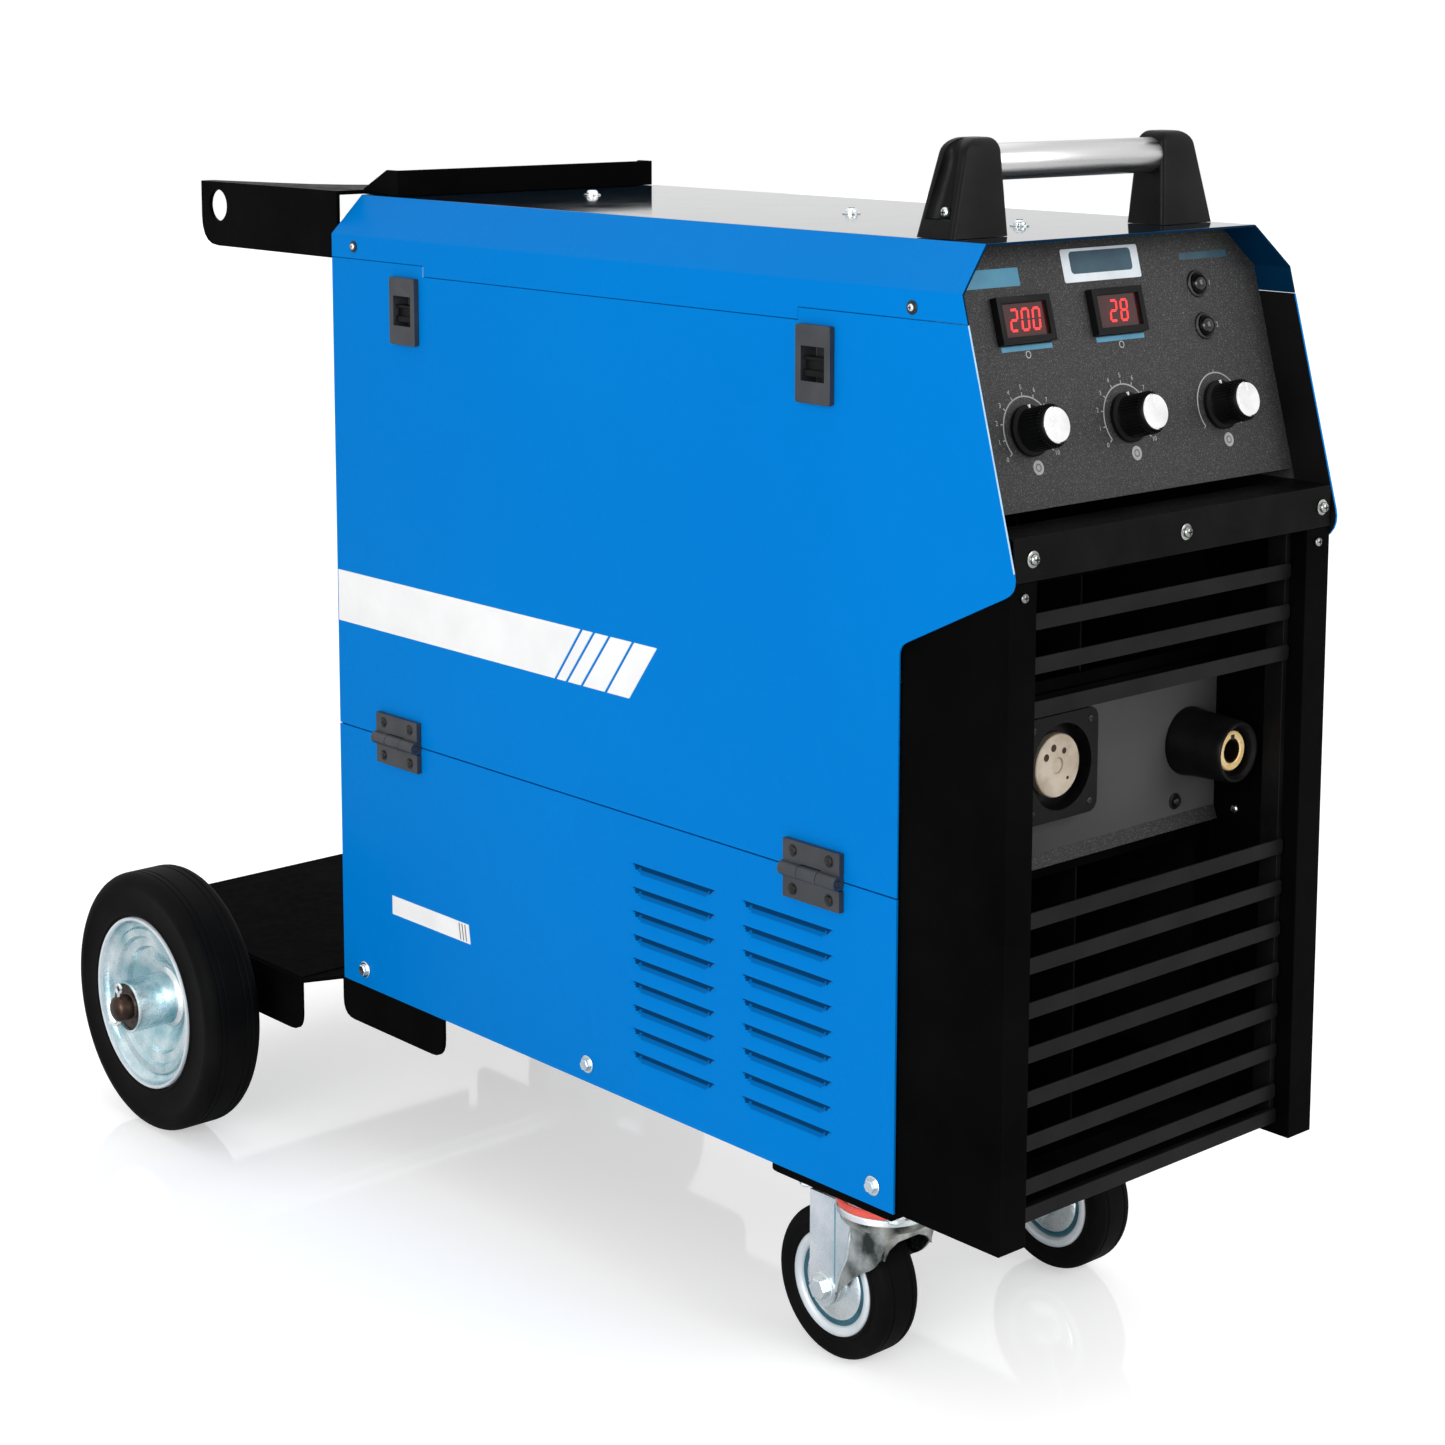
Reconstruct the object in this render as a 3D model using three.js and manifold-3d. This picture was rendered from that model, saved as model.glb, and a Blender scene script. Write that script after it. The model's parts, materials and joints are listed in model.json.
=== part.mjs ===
// A wire-feed welder in a sheet-steel cabinet on its own running gear, with a gas-bottle
// carrier behind. Millimetres, +Z up. The controls face -Y, the hinged door faces -X,
// x = 0 is the mid-plane and z = 0 is the floor. Inside this file y = 0 is the front face
// of the lower cabinet; the exported group is moved so that its origin is the middle of
// the footprint.
import * as THREE from "three";
import { mergeVertices } from "three/addons/utils/BufferGeometryUtils.js";
import Module from "manifold-3d";

const wasm = await Module();
wasm.setup();

// ---------------------------------------------------------------- driving dimensions

const CLEAR = 0.3; // clearance between neighbouring pieces
const SHEET = 1.5; // casing sheet
const TRAY_SHEET = 2; // bottom tray sheet
const PLATE = 3; // carriage and bottle-bracket plate

// Cabinet
const CABINET_WIDTH = 300;
const CABINET_LENGTH = 666;
const ROOF_HEIGHT = 720; // floor to roof
const ROOF_CHAMFER = 27; // 45 degree fold along both top edges
const SEAM_HEIGHT = 676; // door to cover seam near both ends
const SEAM_STEP = 7.5; // drop of the seam between the latches
const SEAM_STEP_FRONT = 172.5;
const SEAM_STEP_FROM_REAR = 112;
const HINGE_HEIGHT = 330; // door hinge line
const DOOR_GAP = 0.8; // between door and lower panel
const DOOR_FLANGE = 12; // depth of the folded edges
const CORNER_DEPTH = 84.5; // depth of the black front corner, to the side panels
const WING_TILT = THREE.MathUtils.degToRad(15.4); // slope of the hood's front edge
const WING_CHIN_Y = -7.5; // foremost corner of the side wings
const WING_CHIN_Z = 528.7;
const WING_CHIN_RADIUS = 13;
const WING_HEEL_Z = 483.6;
const WING_HEEL_RADIUS = 10;
const TRAY_FLANGE = 20;
const FLANGE_INSET = 0.2;

// Louvres in the lower side panels
const LOUVRE_LENGTH = 75;
const LOUVRE_HEIGHT = 8;
const LOUVRE_DEPTH = 3.5;
const LOUVRE_PITCH = 16.1;
const LOUVRE_ROWS = 9;
const LOUVRE_TOP = 298; // top of the highest row
const LOUVRE_COLUMNS = [180.5, 288.5]; // middle of each column, from the front

// Front frame, grille and connector recess
const FRAME_TOP = 531.7;
const RECESS_HALF = 125; // half the clear width between the front columns
const RECESS_DEPTH = 69;
const WINDOW_HALF = 110; // half width of the cut-outs in the recess back wall
const FIN_FRONT = 9; // fins' front faces behind the cabinet front
const FIN_HEIGHT = 8.2;
const FIN_BLADE_DEPTH = 15;
const FIN_BLADE_DROP = 9;
const UPPER_FIN_TOP = 510;
const UPPER_FIN_PITCH = 26;
const UPPER_FINS = 3;
const LOWER_FIN_TOP = 332;
const LOWER_FIN_PITCH = 27.1;
const LOWER_FINS = 7;
const SILL_FOOT = 142.5; // solid strip along the foot of the grille
const SILL_TOP = 152;
const GRILLE_BAR = 4.5; // width of the upright bars at the fin ends
const GRILLE_BAR_SETBACK = 3;
const CONNECTOR_PLATE_TOP = 441;
const CONNECTOR_FOLD_Z = 342;
const CONNECTOR_LIP_DROP = 9;
const CONNECTOR_LIP_OUT = 3.2;
const CROSSBAR_BOTTOM = 532;
const CROSSBAR_HEIGHT = 26;
const CROSSBAR_SHELF = 30;
const CROSSBAR_TAB_DROP = 34;

// Torch socket, square flange with a round well and a brass face
const TORCH_X = -38.5;
const TORCH_Z = 397.5;
const TORCH_FLANGE = 66;
const TORCH_FLANGE_DEPTH = 12;
const TORCH_CORNER = 8;
const TORCH_WELL_RADIUS = 27;
const TORCH_WELL_DEPTH = 9;
const TORCH_FACE_RADIUS = 20;
const TORCH_FACE_SETBACK = 3.5;
const TORCH_BORE_RADIUS = 5;
const TORCH_BORE_DEPTH = 32;
const TORCH_NECK_RADIUS = 17;
const TORCH_NECK_LENGTH = 34;

// Power socket, a long insulating barrel with a brass insert
const POWER_X = 96;
const POWER_Z = 389;
const POWER_LENGTH = 41;
const POWER_BASE_RADIUS = 22.5;
const POWER_FRONT_RADIUS = 19.5;
const POWER_INSERT_RADIUS = 12.8;
const POWER_INSERT_SETBACK = 5;
const POWER_GROOVE_WIDTH = 3;
const POWER_GROOVE_DEPTH = 8;
const POWER_BORE_RADIUS = 8;
const POWER_BORE_DEPTH = 30;
const POWER_STUD_RADIUS = 12;
const POWER_STUD_LENGTH = 22;

// Sloping control panel: "up" runs up its face and "out" is its normal, from PANEL_Y, PANEL_Z
const PANEL_Y = 30;
const PANEL_Z = 565;
const PANEL_RETURN = 12; // folded bottom edge
const PANEL_SIDE_DEPTH = 30; // folded side edges
const KNOB_SPACING = 88;
const KNOB_UP = 46;
const KNOB_SKIRT_RADIUS = 15.5;
const KNOB_SKIRT = 3.2;
const KNOB_BODY_RADIUS = 13.3;
const KNOB_CAP_RADIUS = 11;
const KNOB_HEIGHT = 23.5;
const KNOB_BORE_DEPTH = 15;
const SHAFT_RADIUS = 3;
const SHAFT_LENGTH = 14;
const BEZEL_WIDTH = 46;
const BEZEL_HEIGHT = 28;
const BEZEL_OUT = 5;
const BEZEL_RIM = 4;
const BEZEL_WELL = 2.5;
const DISPLAY_UP = 111; // middle of the displays
const DISPLAY_LEFT_X = -77;
const DISPLAY_RIGHT_X = 6.5;
const BUTTON_X = 87.5;
const BUTTON_UP = 123;
const BUTTON_PITCH = 26.7;
const BUTTON_RADIUS = 6;
const BUTTON_OUT = 6.5; // dome height
const BUTTON_TAIL = 8;
const BUTTON_TRAVEL = 2.5;
const BOARD_SETBACK = 18;
const BOARD_THICK = 1.6;
const BOARD_HALF = 120;
const BOARD_BOTTOM = 28;
const BOARD_TOP = 134;
const POT_RADIUS = 8.5;
const SWITCH_HALF = 6;

// Handle
const HANDLE_SPACING = 189; // between the brackets' middles
const HANDLE_Y = 91;
const HANDLE_BASE_WIDTH = 49;
const HANDLE_BASE_DEPTH = 30;
const HANDLE_TOP_DEPTH = 23;
const HANDLE_HEIGHT = 58;
const HANDLE_OUTER_TAPER = 13;
const HANDLE_TUBE_HEIGHT = 43; // tube axis above the roof
const HANDLE_TUBE_RADIUS = 11;
const HANDLE_TUBE_WALL = 2;
const HANDLE_INSERT = 16; // tube depth in each bracket
const HANDLE_GROOVE_WIDTH = 14;
const HANDLE_GROOVE_DEPTH = 6;

// Bottle bracket
const BRACKET_LAP = 41; // tongue's length over the roof
const BRACKET_TONGUE_HALF = 120;
const BRACKET_LIP = 15.5;
const BRACKET_ARM_HALF = 143.5;
const BRACKET_ARM_GAP = 2; // arms behind the cabinet
const BRACKET_REACH = 187; // arm ends behind the cabinet
const BRACKET_ARM_DROP = 49;
const BRACKET_ARM_CORNER = 22;
const BRACKET_TIP_WIDTH = 11;
const BOTTLE_BEHIND = 140; // bottle's axis behind the cabinet
const BOTTLE_RADIUS = 116;
const CHAIN_HOLE_RADIUS = 12;
const CHAIN_HOLE_FROM_END = 24;
const CHAIN_HOLE_DROP = 15;

// Rear carriage, axle and wheels
const CARRIAGE_LAP = 122; // length under the tray
const CARRIAGE_NECK_BEHIND = 5; // these four are distances behind the cabinet
const CARRIAGE_SHOULDER_BEHIND = 17;
const CARRIAGE_HALF = 178;
const CARRIAGE_REACH = 272;
const CARRIAGE_SKIRT = 41;
const CARRIAGE_NECK_SKIRT = 31;
const CARRIAGE_CORNER = 14;
const WEAR_PLATE = 1; // raised plate under the bottle
const WEAR_PLATE_INSET = 2.5;
const AXLE_BEHIND = 134;
const AXLE_RADIUS = 10;
const AXLE_LUG_RADIUS = 22;
const AXLE_BEYOND_HUB = 10;
const REAR_WHEEL_RADIUS = 100;
const REAR_WHEEL_WIDTH = 46;
const REAR_WHEEL_X = 223; // middle of the tyre
const REAR_RIM_RADIUS = 66.5;
const REAR_TYRE_SHOULDER = 9;
const REAR_RIM_LIP = 4;
const REAR_DISC_THICK = 3;
const REAR_DISH_DEPTH = 13;
const REAR_DISC_CONE = 11; // how much deeper the disc is at the hub
const REAR_HUB_RADIUS = 20;
const REAR_HUB_OUT = 14; // hub end beyond the tyre's outer face
const WHEEL_SIDES = 32;

// Front casters
const CASTER_HEIGHT = 128;
const CASTER_TRACK = 204; // between the swivel axes
const CASTER_Y = 138;
const CASTER_TRAIL = 33.5;
const CASTER_WHEEL_RADIUS = 50;
const CASTER_WHEEL_WIDTH = 32;
const CASTER_RIM_RADIUS = 33.5;
const CASTER_RIM_SETBACK = 3;
const CASTER_HUB_RADIUS = 12;
const CASTER_TYRE_SHOULDER = 6;
const CASTER_BOLT_RADIUS = 5;
const CASTER_BOLT_HEAD_RADIUS = 8;
const CASTER_BOLT_HEAD = 6;
const CASTER_PLATE_LENGTH = 100;
const CASTER_PLATE_WIDTH = 85;
const CASTER_PLATE_THICK = 2.5;
const CASTER_RACE_RADIUS = 30;
const CASTER_RACE_HEIGHT = 13;
const CASTER_CROWN_RADIUS = 32;
const FORK_SHEET = 2.5;
const FORK_INSIDE = 20.5; // half the clear width between the legs
const FORK_LEG_WIDTH = 36;
const FORK_LEG_FOOT = 13;
const MOUNT_PLATE_FRONT = 86;
const MOUNT_PLATE_THICK = 4.9;
const MOUNT_PLATE_REAR = 197;
const MOUNT_PLATE_CORNER = 10;

// Door furniture
const HINGE_LENGTH = 50;
const HINGE_LEAF = 18.5;
const HINGE_THICK = 4;
const KNUCKLE_RADIUS = 4.6;
const KNUCKLE_GAP = 0.4;
const HINGE_PIN_RADIUS = 2;
const HINGE_FROM_FRONT = 154; // middles
const HINGE_FROM_REAR = 78;
const LATCH_WIDTH = 30;
const LATCH_HEIGHT = 47.5;
const LATCH_OUT = 4;
const LATCH_DROP = 9; // top edge below the seam
const LATCH_FROM_FRONT = 155.5;
const LATCH_FROM_REAR = 92;
const LATCH_BOX_WIDTH = 24;
const LATCH_BOX_DEPTH = 11;
const LATCH_WALL = 1.8;
const LATCH_POCKET_HEIGHT = 21;
const LATCH_POCKET_TOP = 13; // from the latch's top edge
const LATCH_BOX_INSET = 6; // box ends from the flange ends
const SLIDER_HEIGHT = 12;
const SLIDER_THICK = 6;
const SLIDER_TRAVEL = 8;
const SLIDER_GRIP = 2;

// Inside
const DIVIDER_X = -6; // left face of the partition
const DIVIDER_STEP_Z = 530;
const DIVIDER_STEP_Y = 125;
const SPOOL_Y = 440;
const SPOOL_Z = 500;
const SPOOL_RADIUS = 150;
const SPOOL_WIDTH = 98;
const SPOOL_FLANGE = 4;
const SPOOL_WIRE_RADIUS = 128;
const SPOOL_CORE_RADIUS = 52;
const SPOOL_BORE_RADIUS = 25.8;
const HUB_FLANGE_RADIUS = 40;
const HUB_FLANGE = 7;
const HUB_RADIUS = 25;
const HUB_CAP_RADIUS = 31;
const HUB_CAP = 8;
const FEED_Y = 185; // drive roll axis
const DRIVE_ROLL_RADIUS = 20;
const DRIVE_ROLL_WIDTH = 12;
const PRESSURE_ROLL_RADIUS = 15;
const WIRE_GAP = 1.2;
const FEED_BLOCK_LENGTH = 120;
const FEED_BLOCK_BELOW = 40;
const FEED_BLOCK_ABOVE = 6;
const FEED_BLOCK_THICK = 26;
const MOTOR_RADIUS = 31;
const MOTOR_LENGTH = 92;
const FEED_PIN_RADIUS = 4;
const FEED_PIN_LENGTH = 16;
const ARM_PIVOT_BACK = 38; // behind the drive roll
const ARM_PIVOT_UP = 20; // above the wire
const ARM_THICK = 8;
const ARM_WIDTH = 16;
const ARM_REACH = 76; // pivot to tip
const TENSION_FORWARD = 30; // tension knob ahead of the drive roll
const TENSION_STEM_RADIUS = 3;
const TENSION_STEM_BELOW = 4; // stem end below the arm
const TENSION_KNOB_RADIUS = 10;
const TENSION_KNOB_LENGTH = 24;
const TRANSFORMER_X = 68;
const TRANSFORMER_FROM_REAR = 366;
const CORE_LENGTH = 165;
const CORE_WIDTH = 70;
const CORE_HEIGHT = 140;
const COIL_WIDTH = 118;
const COIL_LENGTH = 112;
const COIL_HEIGHT = 84;
const CORE_FOOT = 6;
const SINK_GAP = 12.5; // behind the transformer core
const SINK_Z = 190;
const SINK_LENGTH = 120;
const SINK_HEIGHT = 110;
const SINK_BASE = 8;
const SINK_DEPTH = 60;
const SINK_FINS = 9;
const SINK_FIN_THICK = 3;

// Rear panel fittings
const FAN_X = 72;
const FAN_Z = 270;
const FAN_SIZE = 140;
const FAN_DEPTH = 38;
const FAN_WALL = 3;
const FAN_BORE_RADIUS = 66;
const FAN_HUB_RADIUS = 27;
const FAN_STRUT = 6;
const FAN_SHAFT_RADIUS = 4;
const FAN_TIP_GAP = 2;
const FAN_BLADES = 5;
const FAN_BLADE_THICK = 3;
const FAN_BLADE_PITCH = THREE.MathUtils.degToRad(38);
const VENT_SLOTS = 9;
const VENT_SLOT_WIDTH = 8;
const VENT_PITCH = 14;
const SWITCH_X = 92;
const SWITCH_Z = 560;
const SWITCH_PLATE = 64;
const SWITCH_PLATE_OUT = 4;
const SWITCH_BODY = 50;
const SWITCH_BODY_DEPTH = 46;
const SWITCH_HOLE_RADIUS = 15;
const SWITCH_LEVER_RADIUS = 17;
const SWITCH_LEVER_OUT = 12;
const SWITCH_GRIP_LENGTH = 44;
const SWITCH_GRIP_WIDTH = 11;
const SWITCH_GRIP_OUT = 12;
const SWITCH_SHAFT_RADIUS = 4;
const GLAND_X = 110;
const GLAND_Z = 455;
const GLAND_THREAD_RADIUS = 12;
const GLAND_NUT_RADIUS = 17;
const GLAND_BORE_RADIUS = 7;
const GLAND_OUT = 30;
const GAS_X = -95;
const GAS_Z = 400;
const GAS_THREAD_RADIUS = 8;
const GAS_OUT = 20;
const GAS_NUT_RADIUS = 12;
const GAS_BORE_RADIUS = 3;
const GAS_VALVE = 36;

// ---------------------------------------------------------------- worked-out places

const HALF = CABINET_WIDTH / 2;
const INNER_HALF = HALF - SHEET - CLEAR; // pieces that stand against the side panels
const CROSSBAR_HALF = INNER_HALF - SHEET - CLEAR;
const TRAY_BOTTOM = CASTER_HEIGHT + CLEAR + MOUNT_PLATE_THICK + CLEAR;
const TRAY_TOP = TRAY_BOTTOM + TRAY_SHEET;
const FLOOR_IN = TRAY_TOP + CLEAR; // what stands on the tray
const SEAM_STEP_REAR = CABINET_LENGTH - SEAM_STEP_FROM_REAR;
const BRACKET_FRONT = CABINET_LENGTH - BRACKET_LAP;
const BRACKET_ARM_START = CABINET_LENGTH + BRACKET_ARM_GAP;
const BRACKET_ARM_END = CABINET_LENGTH + BRACKET_REACH;
const BOTTLE_Y = CABINET_LENGTH + BOTTLE_BEHIND;
const CARRIAGE_FRONT = CABINET_LENGTH - CARRIAGE_LAP;
const CARRIAGE_NECK = CABINET_LENGTH + CARRIAGE_NECK_BEHIND;
const CARRIAGE_SHOULDER = CABINET_LENGTH + CARRIAGE_SHOULDER_BEHIND;
const CARRIAGE_REAR = CABINET_LENGTH + CARRIAGE_REACH;
const AXLE_Y = CABINET_LENGTH + AXLE_BEHIND;
const HINGE_POSITIONS = [HINGE_FROM_FRONT, CABINET_LENGTH - HINGE_FROM_REAR];
const LATCH_TOP = SEAM_HEIGHT - LATCH_DROP;
const LATCH_POSITIONS = [LATCH_FROM_FRONT, CABINET_LENGTH - LATCH_FROM_REAR];
const TRANSFORMER_Y = CABINET_LENGTH - TRANSFORMER_FROM_REAR;
const SINK_Y = TRANSFORMER_Y + CORE_LENGTH / 2 + SINK_GAP + SINK_LENGTH / 2;
const REAR_FACE = CABINET_LENGTH - CLEAR; // rear panel's outer face
const REAR_INNER = REAR_FACE - SHEET;
const HUB_FACE = REAR_WHEEL_X + REAR_WHEEL_WIDTH / 2 + REAR_HUB_OUT;
const AXLE_HALF_LENGTH = HUB_FACE + AXLE_BEYOND_HUB;
const ROOF_INNER = ROOF_HEIGHT - SHEET;
const ROOF_SEAT = ROOF_HEIGHT + CLEAR;
const CHAMFER_START = ROOF_HEIGHT - ROOF_CHAMFER;
const DOOR_BOTTOM = HINGE_HEIGHT + DOOR_GAP / 2;
const LOWER_PANEL_TOP = HINGE_HEIGHT - DOOR_GAP / 2;
const SHELF_TOP = LOWER_PANEL_TOP - SHEET - CLEAR;
const CROSSBAR_TOP = CROSSBAR_BOTTOM + CROSSBAR_HEIGHT;
const CONNECTOR_FACE = RECESS_DEPTH - CLEAR - SHEET;
const SOCKET_SEAT = CONNECTOR_FACE - CLEAR;
const DIVIDER_RIGHT = DIVIDER_X + SHEET;
const FEED_Z = TORCH_Z;
const PANEL_TOP = (ROOF_INNER - CLEAR - PANEL_Z) / Math.cos(WING_TILT);
const AHEAD = WING_CHIN_Y - 40; // clear of everything in front

// y of the hood's sloping front edge at height z.
function slopeY(z) {
  return WING_CHIN_Y + (z - WING_CHIN_Z) * Math.tan(WING_TILT);
}

// [y, z] of a point on the control panel, up its face and out along its normal.
function onPanel(up, out) {
  return [
    PANEL_Y + up * Math.sin(WING_TILT) - out * Math.cos(WING_TILT),
    PANEL_Z + up * Math.cos(WING_TILT) + out * Math.sin(WING_TILT),
  ];
}

// ---------------------------------------------------------------- materials

const finish = (color, roughness, metalness) =>
  new THREE.MeshStandardMaterial({ color, roughness, metalness });
const BLUE = finish(0x0079cf, 0.25, 0);
const BLACK = finish(0x161616, 0.55, 0);
const SPECKLED = finish(0x3a3a3b, 0.6, 0);
const DARK_PLASTIC = finish(0x1b1b1c, 0.45, 0);
const GLOSS_BLACK = finish(0x0a0a0a, 0.15, 0);
const DARK_GREY = finish(0x33363a, 0.5, 0);
const ZINC = finish(0xbfc6cc, 0.35, 1);
const ALUMINIUM = finish(0xc9cacb, 0.35, 1);
const BRASS = finish(0xc9a050, 0.3, 1);
const RUBBER = finish(0x141414, 0.8, 0);
const SPOOL_PLASTIC = finish(0x202022, 0.5, 0);
const COPPER = finish(0x8a4a22, 0.5, 0.6);
const BOARD_GREEN = finish(0x1f5a34, 0.6, 0);

// ---------------------------------------------------------------- solids

// A closed three.js geometry as a solid that can be joined and cut.
function solidOf(geometry) {
  const bare = geometry.clone();
  bare.deleteAttribute("normal");
  bare.deleteAttribute("uv");
  const merged = mergeVertices(bare, 1e-4);
  const kept = [];
  const index = merged.index.array;
  for (let i = 0; i < index.length; i += 3) {
    const [a, b, c] = [index[i], index[i + 1], index[i + 2]];
    if (a !== b && b !== c && c !== a) kept.push(a, b, c);
  }
  return new wasm.Manifold(
    new wasm.Mesh({
      numProp: 3,
      vertProperties: merged.attributes.position.array,
      triVerts: new Uint32Array(kept),
    }),
  );
}

function geometryOf(solid) {
  const { vertProperties, triVerts } = solid.getMesh();
  const geometry = new THREE.BufferGeometry();
  geometry.setAttribute("position", new THREE.BufferAttribute(vertProperties, 3));
  geometry.setIndex(new THREE.BufferAttribute(triVerts, 1));
  geometry.computeVertexNormals();
  return geometry;
}

const join = (...solids) => solids.reduce((all, next) => all.add(next));
const cut = (body, ...tools) => tools.reduce((left, tool) => left.subtract(tool), body);

function block(x0, x1, y0, y1, z0, z1) {
  const box = new THREE.BoxGeometry(x1 - x0, y1 - y0, z1 - z0);
  return solidOf(box.translate((x0 + x1) / 2, (y0 + y1) / 2, (z0 + z1) / 2));
}

// A closed outline of [u, v] corners; a third number rounds that corner off.
function outline(corners) {
  const shape = new THREE.Shape();
  const count = corners.length;
  corners.forEach(([u, v, radius = 0], i) => {
    const corner = new THREE.Vector2(u, v);
    const before = new THREE.Vector2(...corners[(i + count - 1) % count]);
    const after = new THREE.Vector2(...corners[(i + 1) % count]);
    const toBefore = before.sub(corner).normalize();
    const toAfter = after.sub(corner).normalize();
    const half = Math.acos(THREE.MathUtils.clamp(toBefore.dot(toAfter), -1, 1)) / 2;
    const back = radius / Math.tan(half);
    const start = corner.clone().addScaledVector(toBefore, back);
    const end = corner.clone().addScaledVector(toAfter, back);
    if (i === 0) shape.moveTo(start.x, start.y);
    else shape.lineTo(start.x, start.y);
    if (radius > 0) shape.quadraticCurveTo(corner.x, corner.y, end.x, end.y);
  });
  shape.closePath();
  return shape;
}

// The closed outline of a sheet folded along a path, with its thickness on the path's left.
function folded(path, thickness) {
  const points = path.map(([u, v]) => new THREE.Vector2(u, v));
  const normal = (a, b) => {
    const along = b.clone().sub(a).normalize();
    return new THREE.Vector2(-along.y, along.x);
  };
  const inner = points.map((point, i) => {
    const before = i > 0 ? normal(points[i - 1], point) : null;
    const after = i < points.length - 1 ? normal(point, points[i + 1]) : null;
    if (!before || !after) return point.clone().addScaledVector(before || after, thickness);
    const mitre = before.clone().add(after);
    return point.clone().addScaledVector(mitre, (2 * thickness) / mitre.lengthSq());
  });
  return [...points, ...inner.reverse()].map((p) => [p.x, p.y]);
}

const extrude = (corners, depth) =>
  new THREE.ExtrudeGeometry(outline(corners), {
    depth,
    bevelEnabled: false,
    curveSegments: 5,
  });

// Prisms along each axis: corners are [y, z], [x, z] and [x, y].
function prismX(corners, x0, x1) {
  const basis = new THREE.Matrix4().makeBasis(
    new THREE.Vector3(0, 1, 0),
    new THREE.Vector3(0, 0, 1),
    new THREE.Vector3(1, 0, 0),
  );
  return solidOf(extrude(corners, x1 - x0).applyMatrix4(basis).translate(x0, 0, 0));
}

function prismY(corners, y0, y1) {
  const basis = new THREE.Matrix4().makeBasis(
    new THREE.Vector3(1, 0, 0),
    new THREE.Vector3(0, 0, 1),
    new THREE.Vector3(0, -1, 0),
  );
  return solidOf(extrude(corners, y1 - y0).applyMatrix4(basis).translate(0, y1, 0));
}

function prismZ(corners, z0, z1) {
  return solidOf(extrude(corners, z1 - z0).translate(0, 0, z0));
}

// A round bar along an axis from a to b; u and v are its other two coordinates.
function rod(axis, radius, a, b, u, v, sides = 24, endRadius = radius) {
  const bar = new THREE.CylinderGeometry(endRadius, radius, b - a, sides);
  bar.rotateY(Math.PI / sides);
  const middle = (a + b) / 2;
  if (axis === "x") return solidOf(bar.rotateZ(-Math.PI / 2).translate(middle, u, v));
  if (axis === "y") return solidOf(bar.translate(u, middle, v));
  return solidOf(bar.rotateX(Math.PI / 2).translate(u, v, middle));
}

// A turned solid about +Y. The profile is [radius, height], and runs anticlockwise round
// the material when seen with the radius to the right and the height up.
function turned(profile, sides) {
  const points = profile.map(([r, h]) => new THREE.Vector2(r, h));
  return new THREE.LatheGeometry(points, sides, Math.PI / sides);
}

// Turned solids along +X and -Y, from the point x, y, z.
const turnedX = (profile, sides, x, y, z) =>
  solidOf(turned(profile, sides).rotateZ(-Math.PI / 2).translate(x, y, z));
const turnedFront = (profile, sides, x, y, z) =>
  solidOf(turned(profile, sides).rotateX(Math.PI).translate(x, y, z));

// A round bar along the control panel's normal.
function panelRod(x, up, out0, out1, radius, sides = 20) {
  const bar = new THREE.CylinderGeometry(radius, radius, out1 - out0, sides);
  const [y, z] = onPanel(up, (out0 + out1) / 2);
  return solidOf(bar.rotateX(Math.PI - WING_TILT).translate(x, y, z));
}

// A block on the control panel, between two heights up its face and two depths out of it.
function panelBlock(x0, x1, up0, up1, out0, out1) {
  const corners = [
    onPanel(up0, out0),
    onPanel(up1, out0),
    onPanel(up1, out1),
    onPanel(up0, out1),
  ];
  return prismX(corners, x0, x1);
}

// ---------------------------------------------------------------- scene graph

const machine = new THREE.Group();

function add(name, solid, material, parent = machine) {
  const mesh = new THREE.Mesh(geometryOf(solid), material);
  mesh.name = name;
  parent.add(mesh);
  return mesh;
}

function groupAt(x, y, z, turn = 0) {
  const group = new THREE.Group();
  group.position.set(x, y, z);
  group.rotation.z = turn;
  machine.add(group);
  return group;
}

// ---------------------------------------------------------------- cabinet sheets

function baseTray() {
  const reach = INNER_HALF - SHEET - 2 * CLEAR;
  const front = RECESS_DEPTH + SHEET + CLEAR;
  const floor = prismZ(
    [
      [-reach, front],
      [reach, front],
      [reach, CORNER_DEPTH],
      [INNER_HALF, CORNER_DEPTH],
      [INNER_HALF, REAR_FACE],
      [-INNER_HALF, REAR_FACE],
      [-INNER_HALF, CORNER_DEPTH],
      [-reach, CORNER_DEPTH],
    ],
    TRAY_BOTTOM,
    TRAY_TOP,
  );
  const [y0, y1] = [CORNER_DEPTH + CLEAR, REAR_INNER - CLEAR];
  const [z0, z1] = [TRAY_BOTTOM + TRAY_SHEET / 2, TRAY_BOTTOM + TRAY_FLANGE];
  const outer = INNER_HALF - FLANGE_INSET;
  const inner = outer - TRAY_SHEET;
  return join(floor, block(-outer, -inner, y0, y1, z0, z1), block(inner, outer, y0, y1, z0, z1));
}

// Pressed-in louvres: each blade leaves the sheet at its foot and leans inwards going up.
function louvres(side) {
  const blades = [];
  const slots = [];
  for (const middle of LOUVRE_COLUMNS) {
    for (let row = 0; row < LOUVRE_ROWS; row++) {
      const top = LOUVRE_TOP - row * LOUVRE_PITCH;
      const foot = top - LOUVRE_HEIGHT;
      const [y0, y1] = [middle - LOUVRE_LENGTH / 2, middle + LOUVRE_LENGTH / 2];
      const blade = [
        [side * HALF, foot - SHEET],
        [side * (HALF - LOUVRE_DEPTH), top],
        [side * (HALF - LOUVRE_DEPTH - SHEET), top],
        [side * (HALF - SHEET), foot - SHEET],
      ];
      blades.push(prismY(side < 0 ? blade : blade.reverse(), y0 + CLEAR, y1 - CLEAR));
      slots.push(block(-HALF - 1, HALF + 1, y0, y1, foot, top));
    }
  }
  return { blades, slots };
}

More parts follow.
